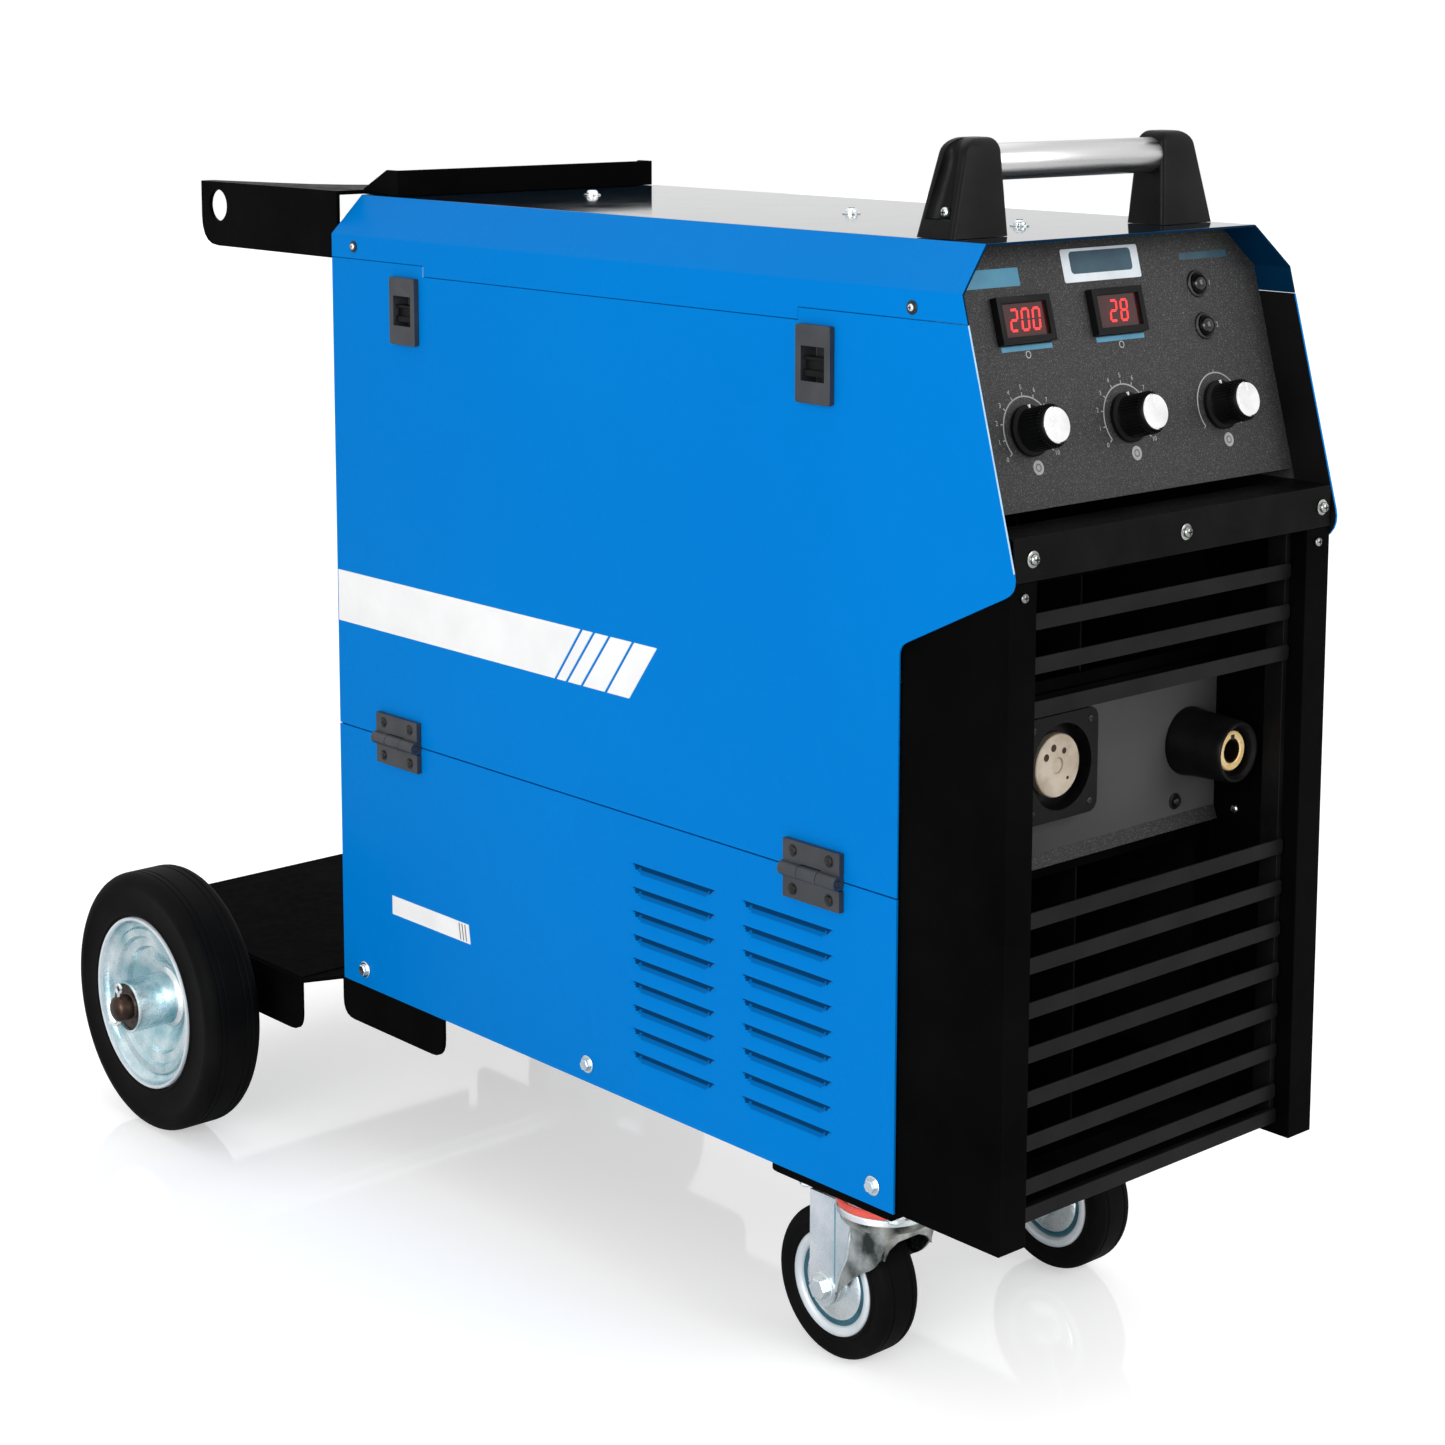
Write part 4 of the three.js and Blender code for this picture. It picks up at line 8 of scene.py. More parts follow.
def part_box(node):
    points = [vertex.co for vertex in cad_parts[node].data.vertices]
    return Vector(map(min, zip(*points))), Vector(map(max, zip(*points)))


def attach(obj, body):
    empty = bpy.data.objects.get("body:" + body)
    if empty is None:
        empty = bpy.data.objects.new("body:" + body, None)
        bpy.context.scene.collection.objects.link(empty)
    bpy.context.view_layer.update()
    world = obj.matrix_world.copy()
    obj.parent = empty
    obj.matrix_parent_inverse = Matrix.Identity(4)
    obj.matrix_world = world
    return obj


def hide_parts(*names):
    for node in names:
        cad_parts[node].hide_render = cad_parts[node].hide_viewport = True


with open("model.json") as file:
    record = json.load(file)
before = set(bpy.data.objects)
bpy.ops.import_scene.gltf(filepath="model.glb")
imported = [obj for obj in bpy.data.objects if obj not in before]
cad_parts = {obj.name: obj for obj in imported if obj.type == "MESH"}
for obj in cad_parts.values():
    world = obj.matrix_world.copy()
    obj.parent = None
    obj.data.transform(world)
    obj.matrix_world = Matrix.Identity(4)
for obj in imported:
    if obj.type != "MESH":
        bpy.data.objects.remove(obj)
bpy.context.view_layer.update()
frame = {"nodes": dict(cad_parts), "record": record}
BODY = {n: b for b, nodes in frame["record"]["behaviour"]["bodies"].items() for n in nodes}
SLOT = {s["node"]: s["material_slot"] for s in frame["record"]["subparts"]}

# Shapes are written in millimetres: x from the middle plane, y back from the front face of the
# lower cabinet, z up from the floor.
MM = 0.001
FRONT_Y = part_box("front_frame")[0].y
SIDE, ROOF, BACK = 150, 720, 666  # half width, height and rear edge of the casing
TILT = radians(15.4)  # slope of the control panel
COS, SIN = cos(TILT), sin(TILT)
REAR_AXLE_Y, REAR_AXLE_Z, REAR_WHEEL_X = 800, 100, 223
CASTER_X, CASTER_Y, CASTER_TRAIL, CASTER_AXLE_Z = 102, 138, 33.5, 50
SPOOL_Y, SPOOL_Z = 440, 500
KNOB_UP, KNOB_X = 46, 88  # on the control panel, measured up its slope
BUTTON_X, BUTTON_UPS = 87.5, (123, 96.3)
HANDLE_Y, HANDLE_Z = 91, 763.3


# ---------- materials ----------

def add(tree, kind, operation=None, **inputs):
    """A shader node, with values for its sockets."""
    node = tree.nodes.new("ShaderNode" + kind)
    if operation:
        node.operation = operation
    for key, value in inputs.items():
        node.inputs[key].default_value = value
    return node


def link(a, out, b, into):
    a.id_data.links.new(a.outputs[out], b.inputs[into])


def rgb(c):
    """A colour as it is, or a number as a grey."""
    return c if isinstance(c, tuple) else (c, c, c)


def new_material(name, color, rough, metal=0.0, spec=0.5):
    m = bpy.data.materials.new(name)
    m.use_nodes = True
    shader = m.node_tree.nodes["Principled BSDF"]
    for key, value in (("Base Color", (*rgb(color), 1)), ("Roughness", rough), ("Metallic", metal),
                       ("Specular IOR Level", spec)):
        shader.inputs[key].default_value = value
    return m, m.node_tree, shader


def noise(tree, scale, stretch=(1, 1, 1), detail=4.0):
    """Noise laid in the object's own coordinates."""
    mapping = add(tree, "Mapping", Scale=stretch)
    tex = add(tree, "TexNoise", Scale=scale, Detail=detail)
    link(add(tree, "TexCoord"), "Object", mapping, "Vector")
    link(mapping, "Vector", tex, "Vector")
    return tex


def tint(tree, shader, source, stops, socket="Base Color"):
    """Lead a texture to a shader socket through a ramp of (place, colour) stops."""
    node = add(tree, "ValToRGB")
    link(source, 0, node, "Fac")
    elements = node.color_ramp.elements
    while len(elements) < len(stops):
        elements.new(0.5)
    for element, (place, color) in zip(elements, stops):
        element.position = place
        element.color = (*rgb(color), 1)
    link(node, "Color", shader, socket)


def add_bump(tree, shader, source, strength):
    node = add(tree, "Bump", Strength=strength, Distance=0.0004)
    link(source, 0, node, "Height")
    link(node, "Normal", shader, "Normal")


def vary(name, dark, light, rough, metal=0.0, scale=9.0, bump=None, stretch=(1, 1, 1), spec=0.5):
    """A finish whose colour and roughness drift between two values, with a fine bump."""
    m, tree, shader = new_material(name, light, rough[1], metal, spec)
    tint(tree, shader, noise(tree, scale, stretch), [(0.35, dark), (0.65, light)])
    tint(tree, shader, noise(tree, scale * 7, stretch), [(0.3, rough[0]), (0.7, rough[1])], "Roughness")
    if bump:
        grain, strength = bump
        add_bump(tree, shader, noise(tree, grain, stretch, 2.0), strength)
    return m


def speckled(name):
    """Dark textured paint with fine light flecks."""
    m, tree, shader = new_material(name, 0.02, 0.5, spec=0.25)
    flecks = noise(tree, 1500, detail=1.0)
    tint(tree, shader, flecks, [(0.0, 0.019), (0.56, 0.026), (0.66, 0.09), (0.8, 0.17)])
    add_bump(tree, shader, flecks, 0.25)
    return m


def rubber(name, wheel_y, wheel_z):
    """Tyre rubber with faint turned rings about the wheel's axle."""
    m, tree, shader = new_material(name, 0.004, 0.62, spec=0.05)
    tint(tree, shader, noise(tree, 22), [(0.3, 0.002), (0.8, 0.006)])
    shift = add(tree, "Mapping", Location=(0, -FRONT_Y - wheel_y * MM, -wheel_z * MM))
    flatten = add(tree, "VectorMath", "MULTIPLY")
    flatten.inputs[1].default_value = (0, 1, 1)
    radius = add(tree, "VectorMath", "LENGTH")
    rings = add(tree, "TexNoise", Scale=700)
    rings.noise_dimensions = "1D"
    link(add(tree, "TexCoord"), "Object", shift, "Vector")
    link(shift, "Vector", flatten, 0)
    link(flatten, "Vector", radius, 0)
    link(radius, "Value", rings, "W")
    add_bump(tree, shader, rings, 0.35)
    return m


def glowing(name, color, strength):
    m, tree, shader = new_material(name, color, 0.4)
    tint(tree, shader, noise(tree, 400), [(0.3, tuple(c * 0.8 for c in color)), (0.7, color)])
    shader.inputs["Emission Color"].default_value = (*color, 1)
    shader.inputs["Emission Strength"].default_value = strength
    return m


BLUE = vary("blue_paint", (0.0, 0.183, 0.585), (0.0, 0.198, 0.615), (0.24, 0.32), scale=2.5, bump=(650, 0.03),
            spec=0.02)
ROOF_GLOSS = vary("gloss_roof_paint", (0.002, 0.010, 0.020), (0.003, 0.014, 0.028), (0.05, 0.09), scale=4,
                  bump=(500, 0.008), spec=0.4)
EDGE_HIGHLIGHT_PAINT = vary("painted_edge_highlight", (0.32, 0.52, 0.72), (0.5, 0.7, 0.86), (0.3, 0.4), scale=40, spec=0.2)
BLACK = vary("black_powder", 0.001, 0.0022, (0.36, 0.5), scale=14, bump=(1500, 0.2), spec=0.012)
HOOD_SHADE_NAVY = vary("painted_shade_navy", (0.0, 0.014, 0.04), (0.0, 0.02, 0.055), (0.5, 0.65), scale=6, spec=0.02)
SOFT_SHADE_BLUE = vary("painted_soft_shade_blue", (0.0, 0.118, 0.4), (0.0, 0.132, 0.435), (0.3, 0.4), scale=5,
                   spec=0.02)
DEEP_SHADE_BLUE = vary("painted_deep_shade_blue", (0.0, 0.04, 0.13), (0.0, 0.048, 0.15), (0.3, 0.4), scale=5, spec=0.02)
MATT_BLACK = vary("matt_black", 0.0026, 0.0042, (0.6, 0.75), scale=18, bump=(1500, 0.1), spec=0.004)
SATIN_BLACK = vary("satin_black", 0.002, 0.0045, (0.34, 0.46), scale=30, bump=(1500, 0.25), spec=0.045)
FIN_BLACK = vary("fin_black", 0.004, 0.008, (0.3, 0.42), scale=30, bump=(1500, 0.25), spec=0.09)
INNER_SHADE_BLACK = vary("painted_inner_shade", 0.002, 0.004, (0.7, 0.85), scale=20, spec=0.1)
SPECKLE = speckled("speckled_black")
PLATE_GREY = vary("grey_plate", 0.062, 0.082, (0.4, 0.5), scale=9, bump=(1300, 0.3), spec=0.2)
PLASTIC = vary("black_plastic", 0.003, 0.006, (0.3, 0.42), scale=40, bump=(1900, 0.12), spec=0.1)
GLOSS = vary("gloss_black", 0.004, 0.007, (0.06, 0.12), scale=60)
DARK_GREY = vary("grey_plastic", (0.022, 0.025, 0.03), (0.034, 0.038, 0.044), (0.36, 0.46), scale=50,
                 bump=(1600, 0.15))
ZINC = vary("zinc", (0.58, 0.66, 0.69), (0.88, 0.9, 0.91), (0.2, 0.36), 1.0, scale=26, bump=(500, 0.05))
ZINC_BLUE = vary("zinc_passivated", (0.3, 0.5, 0.56), (0.78, 0.87, 0.9), (0.18, 0.34), 1.0, scale=34,
                 bump=(420, 0.05))
BEND_SHADE_TEAL = vary("painted_bend_shade", (0.16, 0.34, 0.42), (0.22, 0.42, 0.5), (0.3, 0.4), 0.5, scale=60)
TEAL_GROOVE = vary("zinc_groove", (0.01, 0.07, 0.10), (0.03, 0.14, 0.19), (0.25, 0.4), 0.3, scale=60)
RACEWAY = vary("dull_steel", (0.04, 0.05, 0.045), (0.55, 0.57, 0.54), (0.16, 0.3), 1.0, scale=55,
               bump=(260, 0.08))
PALE_RIM = vary("pale_rim", (0.60, 0.65, 0.69), (0.76, 0.81, 0.85), (0.32, 0.45), 0.2, scale=30,
                bump=(300, 0.05))
ALU = vary("brushed_aluminium", 0.36, 0.62, (0.24, 0.4), 1.0, scale=50, bump=(260, 0.22),
           stretch=(0.02, 1, 1))
CAST = vary("cast_aluminium", 0.42, 0.6, (0.42, 0.6), 1.0, scale=60, bump=(700, 0.3))
CHROME = vary("bright_cap", 0.82, 0.95, (0.12, 0.2), 1.0, scale=80)
BRASS = vary("brass", (0.62, 0.42, 0.16), (0.85, 0.62, 0.28), (0.2, 0.34), 1.0, scale=120)
BRASS_PAINTED_HIGHLIGHT = vary("brass_with_painted_highlight", (0.9, 0.62, 0.25), (1.0, 0.78, 0.42), (0.2, 0.3), 0.3, scale=150)
BRASS_FACE = vary("worn_brass_face", (0.42, 0.34, 0.25), (0.66, 0.57, 0.46), (0.35, 0.5), 0.35, scale=60,
                  bump=(900, 0.2))
AXLE_END = vary("dark_steel", (0.03, 0.018, 0.012), (0.09, 0.055, 0.04), (0.28, 0.42), 0.85, scale=90)
WHITE = vary("white_film", 0.84, 0.9, (0.38, 0.46), scale=30)
TEAL = vary("teal_print", (0.05, 0.23, 0.36), (0.07, 0.28, 0.42), (0.4, 0.5), scale=50)
FAINT_TEAL = vary("faint_teal_print", (0.012, 0.05, 0.08), (0.02, 0.075, 0.11), (0.4, 0.5), scale=50)
INK = vary("pale_print", 0.3, 0.42, (0.45, 0.55), scale=60)
DIM_INK = vary("dim_print", 0.09, 0.14, (0.45, 0.55), scale=60)
SMOKED = vary("smoked_red_window", (0.035, 0.003, 0.004), (0.06, 0.005, 0.006), (0.12, 0.2), scale=60)
SEGMENT = glowing("lit_segment", (0.95, 0.03, 0.03), 0.9)
DARK = vary("shadow_gap", 0.002, 0.004, (0.7, 0.8), scale=40)
SEAL = vary("red_seal", (0.72, 0.07, 0.05), (0.86, 0.11, 0.08), (0.4, 0.5), scale=60)
BOARD = vary("circuit_board", (0.01, 0.10, 0.04), (0.02, 0.15, 0.06), (0.3, 0.45), scale=120)
COPPER = vary("copper_wire", (0.45, 0.16, 0.06), (0.72, 0.32, 0.15), (0.25, 0.4), 1.0, scale=160,
              bump=(900, 0.2))
WINDING = vary("varnished_winding", (0.16, 0.05, 0.02), (0.28, 0.10, 0.04), (0.35, 0.5), 0.3, scale=60,
               bump=(500, 0.3))
STEEL_BLACK = vary("black_screw", 0.012, 0.03, (0.25, 0.4), 0.6, scale=90)
REAR_RUBBER = rubber("rear_tyre_rubber", REAR_AXLE_Y, REAR_AXLE_Z)
CASTER_RUBBER = rubber("caster_rubber", CASTER_Y + CASTER_TRAIL, CASTER_AXLE_Z)


# ---------- building ----------

def basis(x_axis, y_axis, z_axis, place):
    m = Matrix.Identity(4)
    for i, axis in enumerate((x_axis, y_axis, z_axis)):
        for j in range(3):
            m[j][i] = axis[j]
    m.translation = Vector(place)
    return m


def facing(right, out):
    """Places upright frames whose Z axis leaves the object along `out`."""
    return lambda x, y, z: basis(right, (0, 0, 1), out, (x, y, z))


to_front = facing((1, 0, 0), (0, -1, 0))
to_rear = facing((-1, 0, 0), (0, 1, 0))
to_left = facing((0, -1, 0), (-1, 0, 0))
to_right = facing((0, 1, 0), (1, 0, 0))


def moved(m, u, v, w):
    return m @ Matrix.Translation((u, v, w))


def turned(m, angle, axis="Z"):
    """A frame turned about one of its own axes, in degrees."""
    return m @ Matrix.Rotation(radians(angle), 4, axis)


def to_side(side, x, y, z):
    return to_left(x, y, z) if side < 0 else to_right(x, y, z)


def to_top(x, y, z):
    return Matrix.Translation((x, y, z))


def to_panel(x, up, out=0.0):
    """A frame on the control panel, `up` its slope and `out` from its face."""
    place = (x, 30 + up * SIN - out * COS, 565 + up * COS + out * SIN)
    return basis((1, 0, 0), (0, SIN, COS), (0, -COS, SIN), place)


class Piece:
    """A mesh under construction, with one material slot for each finish that it uses."""

    def __init__(self, name, body, *, node=None, slot=None, replaces=()):
        self.name, self.body = name, body
        self.slot = slot or SLOT[node]
        self.replaces = replaces
        self.bm = bmesh.new()
        self.mats = []
        self.index = 0

    def use(self, material):
        if material not in self.mats:
            self.mats.append(material)
        self.index = self.mats.index(material)
        return self

    def face(self, verts):
        try:
            f = self.bm.faces.new(verts)
        except ValueError:  # this face is there already
            return
        f.material_index = self.index

    def lathe(self, profile, m, seg=48):
        """Turn (radius, height) points about m's Z axis, as a closed ring if they end where they start."""
        closed = profile[0] == profile[-1]
        points = profile[:-1] if closed else profile
        rings = []
        for r, h in points:
            if r < 1e-6:
                rings.append([self.bm.verts.new(m @ Vector((0, 0, h)))])
                continue
            turn = [2 * pi * i / seg for i in range(seg)]
            rings.append([self.bm.verts.new(m @ Vector((r * cos(a), r * sin(a), h)))
                          for a in turn])
        pairs = list(zip(rings, rings[1:] + (rings[:1] if closed else [])))
        for low, high in pairs:
            for i in range(seg):
                k = (i + 1) % seg
                if len(low) == 1 and len(high) > 1:
                    self.face((low[0], high[i], high[k]))
                elif len(high) == 1 and len(low) > 1:
                    self.face((low[i], low[k], high[0]))
                elif len(low) > 1:
                    self.face((low[i], low[k], high[k], high[i]))
        return self

    def disc(self, r, low, high, m, seg):
        return self.lathe([(0, low), (r, low), (r, high), (0, high)], m, seg)

    def ring(self, r0, r1, low, high, m, seg):
        return self.lathe([(r0, low), (r1, low), (r1, high), (r0, high), (r0, low)], m, seg)

    def prism(self, outline, m, low, high):
        """Raise an outline in m's plane from low to high."""
        bottom = [self.bm.verts.new(m @ Vector((u, v, low))) for u, v in outline]
        top = [self.bm.verts.new(m @ Vector((u, v, high))) for u, v in outline]
        self.face(list(reversed(bottom)))
        self.face(top)
        for i in range(len(outline)):
            k = (i + 1) % len(outline)
            self.face((bottom[i], bottom[k], top[k], top[i]))
        return self

    def block(self, m, u0, u1, v0, v1, w0, w1):
        return self.prism([(u0, v0), (u1, v0), (u1, v1), (u0, v1)], m, w0, w1)

    def tube(self, path, radius, seg=8):
        """A round rod along a path of points."""
        points = [Vector(p) for p in path]
        rings = []
        for i, p in enumerate(points):
            before, after = points[max(i - 1, 0)], points[min(i + 1, len(points) - 1)]
            q = (after - before).to_track_quat("Z", "Y")
            turn = [2 * pi * k / seg for k in range(seg)]
            rings.append([self.bm.verts.new(p + q @ Vector((radius * cos(a), radius * sin(a), 0)))
                          for a in turn])
        for low, high in zip(rings, rings[1:]):
            for i in range(seg):
                k = (i + 1) % seg
                self.face((low[i], low[k], high[k], high[i]))
        self.face(list(reversed(rings[0])))
        self.face(rings[-1])
        return self

    def copy(self, node):
        """Start from the CAD node's shape, with its flat faces whole again."""
        bm = self.bm
        bm.from_mesh(frame["nodes"][node].data)
        for v in bm.verts:
            v.co = (v.co - Vector((0, FRONT_Y, 0))) / MM
        bmesh.ops.remove_doubles(bm, verts=bm.verts[:], dist=0.002)
        for f in bm.faces:
            f.material_index = self.index
        bmesh.ops.dissolve_limit(bm, angle_limit=0.02, verts=bm.verts[:], edges=bm.edges[:])
        return self

    def screw(self, m, r, h, washer=True, finish=None):
        """A pan-head cross screw, on a washer if it has one."""
        self.use(finish or ZINC)
        base = 0.0
        if washer:
            base = 0.9
            self.lathe([(0, 0), (r * 1.45, 0), (r * 1.45, 0.7), (r * 1.3, base), (0, base)], m, 24)
        self.lathe([(0, base - 0.3), (r, base), (r, base + h * 0.35), (r * 0.88, base + h * 0.7),
                    (r * 0.6, base + h * 0.95), (0, base + h)], m, 20)
        self.use(DARK)
        return self.cross(m, r * 0.55, r * 0.13, base + h * 0.6, base + h * 1.02)

    def cross(self, m, long, short, low, high):
        self.block(m, -long, long, -short, short, low, high)
        return self.block(m, -short, short, -long, long, low, high)

    def hex_bolt(self, m, across, h, washer):
        """A hexagon bolt on a washer, whose width is given in widths across flats."""
        self.use(ZINC)
        r, rim = across / sqrt(3), across * 0.5 * washer
        self.lathe([(0, 0), (rim, 0), (rim, 0.8), (rim - 0.5, 1.2), (0, 1.2)], m, 28)
        self.lathe([(0, 1.0), (r, 1.2), (r, h - 0.7), (r * 0.86, h), (0, h)], m, 6)
        return self

    def text(self, words, size, m):
        """Plain numbers, laid flat on m's plane."""
        curve = bpy.data.curves.new("lettering", "FONT")
        curve.body, curve.size = words, size
        curve.align_x = curve.align_y = "CENTER"
        curve.extrude = 0.04
        curve.resolution_u = 2
        holder = bpy.data.objects.new("lettering", curve)
        mesh = holder.to_mesh()
        old = set(self.bm.verts)
        start = len(self.bm.faces)
        self.bm.from_mesh(mesh)
        for v in self.bm.verts:
            if v not in old:
                v.co = m @ v.co
        self.bm.faces.ensure_lookup_table()
        for f in self.bm.faces[start:]:
            f.material_index = self.index
        holder.to_mesh_clear()
        bpy.data.objects.remove(holder)
        bpy.data.curves.remove(curve)
        return self

    def done(self, bevel=0.0, steps=2, smooth=35, keep_normals=False):
        bm = self.bm
        if not keep_normals:
            bmesh.ops.recalc_face_normals(bm, faces=bm.faces[:])
        for v in bm.verts:
            v.co = Vector((v.co.x * MM, v.co.y * MM + FRONT_Y, v.co.z * MM))
        mesh = bpy.data.meshes.new(self.name)
        bm.to_mesh(mesh)
        bm.free()
        for material in self.mats:
            mesh.materials.append(material)
        mesh.shade_smooth()
        mesh.set_sharp_from_angle(angle=radians(smooth))
        obj = bpy.data.objects.new(self.name, mesh)
        bpy.context.scene.collection.objects.link(obj)
        if bevel:
            add_bevel(obj, bevel, steps, 28)
        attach(obj, self.body)
        if self.replaces:
            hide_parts(*self.replaces)
        return obj


def add_bevel(obj, width, steps, angle):
    mod = obj.modifiers.new("edges", "BEVEL")
    mod.width = width * MM
    mod.segments = steps
    mod.limit_method = "ANGLE"
    mod.angle_limit = radians(angle)
    mod.harden_normals = True


def for_node(node):
    """A piece that stands for a CAD node."""
    return Piece(f"{node}_form", BODY[node], node=node, replaces=(node,))


def extra(name, body, slot):
    return Piece(name, body, slot=slot)


def arc(cu, cv, r, a0, a1, steps):
    """Points on a circle about (cu, cv), between two angles in degrees."""
    return [(cu + r * cos(radians(a0 + (a1 - a0) * i / steps)),
             cv + r * sin(radians(a0 + (a1 - a0) * i / steps))) for i in range(steps + 1)]


def rounded(u0, u1, v0, v1, r, steps=5):
    """A rectangle with rounded corners."""
    return (arc(u1 - r, v0 + r, r, -90, 0, steps) + arc(u1 - r, v1 - r, r, 0, 90, steps)
            + arc(u0 + r, v1 - r, r, 90, 180, steps) + arc(u0 + r, v0 + r, r, 180, 270, steps))


# ---------- casing ----------

# Nodes whose own shape is right, with a finish and softened edges.
for node, finish, bevel in (
    # divider_wall: near-black paint as painted shade, for the shadow it lies in behind the grille.
    ("base_tray", BLACK, 0.4), ("rear_panel", BLACK, 0.3), ("divider_wall", INNER_SHADE_BLACK, 0.3),
    ("front_frame", BLACK, 0.5), ("front_crossbar", SATIN_BLACK, 0.6), ("bottle_bracket", BLACK, 0.6),
    ("rear_carriage", MATT_BLACK, 0.7), ("front_mount_plate", BLACK, 0.6), ("control_panel", SPECKLE, 0.35),
    ("latch_body_front", DARK_GREY, 0.4), ("latch_body_rear", DARK_GREY, 0.4),
    ("latch_slider_front", PLASTIC, 0.4), ("latch_slider_rear", PLASTIC, 0.4),
    ("wire_feeder", CAST, 0.8), ("pressure_arm", PLASTIC, 0.8), ("heat_sink", ALU, 0.4),
    ("fan_frame", PLASTIC, 0.6), ("fan_rotor", PLASTIC, 0.5), ("mains_switch_lever", GLOSS, 1.2),
    ("gas_inlet", BRASS, 0.4), ("cable_gland", PLASTIC, 0.4),
):
    for_node(node).use(finish).copy(node).done(bevel=bevel, steps=3 if bevel > 1 else 2)


def repaint(p, material, chosen):
    """Give a finish to the faces that chosen(middle, normal) picks."""
    p.use(material)
    for face in p.bm.faces:
        face.normal_update()
        if chosen(face.calc_center_median(), face.normal):
            face.material_index = p.index


door = for_node("side_door").use(BLUE).copy("side_door")
# Painted highlight: the door's thin front-facing sheet edges high up get pale blue, for the light they catch.
repaint(door, EDGE_HIGHLIGHT_PAINT, lambda c, n: n.y < -0.6 and c.z > 540)
door.done(bevel=0.35)

cover = for_node("top_cover").use(BLUE).copy("top_cover")
repaint(cover, ROOF_GLOSS, lambda c, n: c.z > ROOF - 0.5 and abs(n.z) > 0.9)
# Painted shade: the hood's inside and its front lip get dark navy, as they lie in shade.
repaint(cover, HOOD_SHADE_NAVY, lambda c, n: c.x * n.x + (c.z - 600) * n.z < -1 or (c.z > 695 and n.y < -0.5))
cover.done(bevel=0.4)

# Lower side sheets with pressed-in louvres, as one folded skin on each side.
LOUVRE_COLUMNS = (180.5, 288.5)
LOUVRE_HALF, LOUVRE_HIGH, LOUVRE_DEEP, LOUVRE_RAMP = 42.5, 8.0, 3.4, 5.0
LOUVRE_LEAN = 9.0  # how far the closed ends lean outwards going down
LOUVRE_HEADS = [298.0 - 16.1 * row for row in range(9)]
LOUVRE_MOUTH, LOUVRE_END, LOUVRE_SHADE = 0.55, 0.3, 0.2  # shares of the depth from which painted shade darkens the blue
SHEET = 1.5
SHEET_FOOT, SHEET_FRONT = 133.5, 84.5


def louvre_depth(y, z):
    """How far the pressed sheet lies inwards at a point of the side."""
    for middle in LOUVRE_COLUMNS:
        for head in LOUVRE_HEADS:
            rise = (z - (head - LOUVRE_HIGH)) / LOUVRE_HIGH
            inside = LOUVRE_HALF - abs(y - middle) - LOUVRE_LEAN * (1 - rise)
            if 0 <= rise < 1.0001 and inside > 0:
                return LOUVRE_DEEP * rise * min(1.0, inside / LOUVRE_RAMP)
    return 0.0


def louvred_skin(node, side, top, upper_outline):
    """Sheet from the tray up to `top`, with an optional flat upper part above it."""
    p = for_node(node).use(BLUE).use(DEEP_SHADE_BLUE).use(SOFT_SHADE_BLUE).use(INNER_SHADE_BLACK)
    ys = {SHEET_FRONT, float(BACK)}
    for middle in LOUVRE_COLUMNS:
        ys.update(middle + k * 5.5 for k in range(-8, 9))
        ys.update(middle + s * (LOUVRE_HALF - d) for s in (-1, 1) for d in (0, 2.5, 5, 7.5, 10))
    zs = {SHEET_FOOT, top}
    for head in LOUVRE_HEADS:
        zs.update(head - LOUVRE_HIGH + k * LOUVRE_HIGH / 6 for k in range(7))
        zs.add(head + 0.02)
    ys, zs = sorted(ys), sorted(zs)
    x = side * SIDE
    grid = [[p.bm.verts.new((x - side * louvre_depth(y, z), y, z)) for y in ys] for z in zs]
    for low, high in zip(grid, grid[1:]):
        for i in range(len(ys) - 1):
            corners = (low[i], low[i + 1], high[i + 1], high[i])
            sunk = sum(abs(abs(v.co.x) - SIDE) for v in corners) / 4 / LOUVRE_DEEP
            end_wall = abs(high[i].co.x - high[i + 1].co.x) > 0.5
            # Painted shade: the deep top of each louvre and its closed ends get dark blue, the middle depth a
            # shaded blue.
            if sunk > (LOUVRE_END if end_wall else LOUVRE_MOUTH):
                p.use(DEEP_SHADE_BLUE)
            elif sunk > LOUVRE_SHADE:
                p.use(SOFT_SHADE_BLUE)
            else:
                p.use(BLUE)
            p.face(corners)
    p.use(BLUE)
    if upper_outline:
        above = [p.bm.verts.new((x, y, z)) for y, z in upper_outline]
        p.face(list(reversed(grid[-1])) + above)
    bmesh.ops.recalc_face_normals(p.bm, faces=p.bm.faces[:])
    p.bm.faces.ensure_lookup_table()
    outward = sum(f.normal.x * f.calc_area() for f in p.bm.faces)
    if outward * side < 0:
        bmesh.ops.reverse_faces(p.bm, faces=p.bm.faces[:])
    obj = p.done(smooth=40, keep_normals=True)
    thick = obj.modifiers.new("sheet", "SOLIDIFY")
    thick.thickness = SHEET * MM
    thick.offset = -1
    thick.material_offset = 3  # the inner side is painted near black, as painted shade inside the case
    thick.use_even_offset = False
    add_bevel(obj, 0.35, 2, 60)


def quad_bend(a, c, b, steps=6):
    """Points of the rounded corner at c, from a to b."""
    return [tuple((1 - t) ** 2 * a[k] + 2 * t * (1 - t) * c[k] + t * t * b[k] for k in (0, 1))
            for t in [i / steps for i in range(steps + 1)]]


CHIN_Y, CHIN_Z, SEAM_Z = -7.5, 528.7, 676  # the side's foremost point, and its seam with the roof


def slope_y(z):
    return CHIN_Y + (z - CHIN_Z) * tan(TILT)


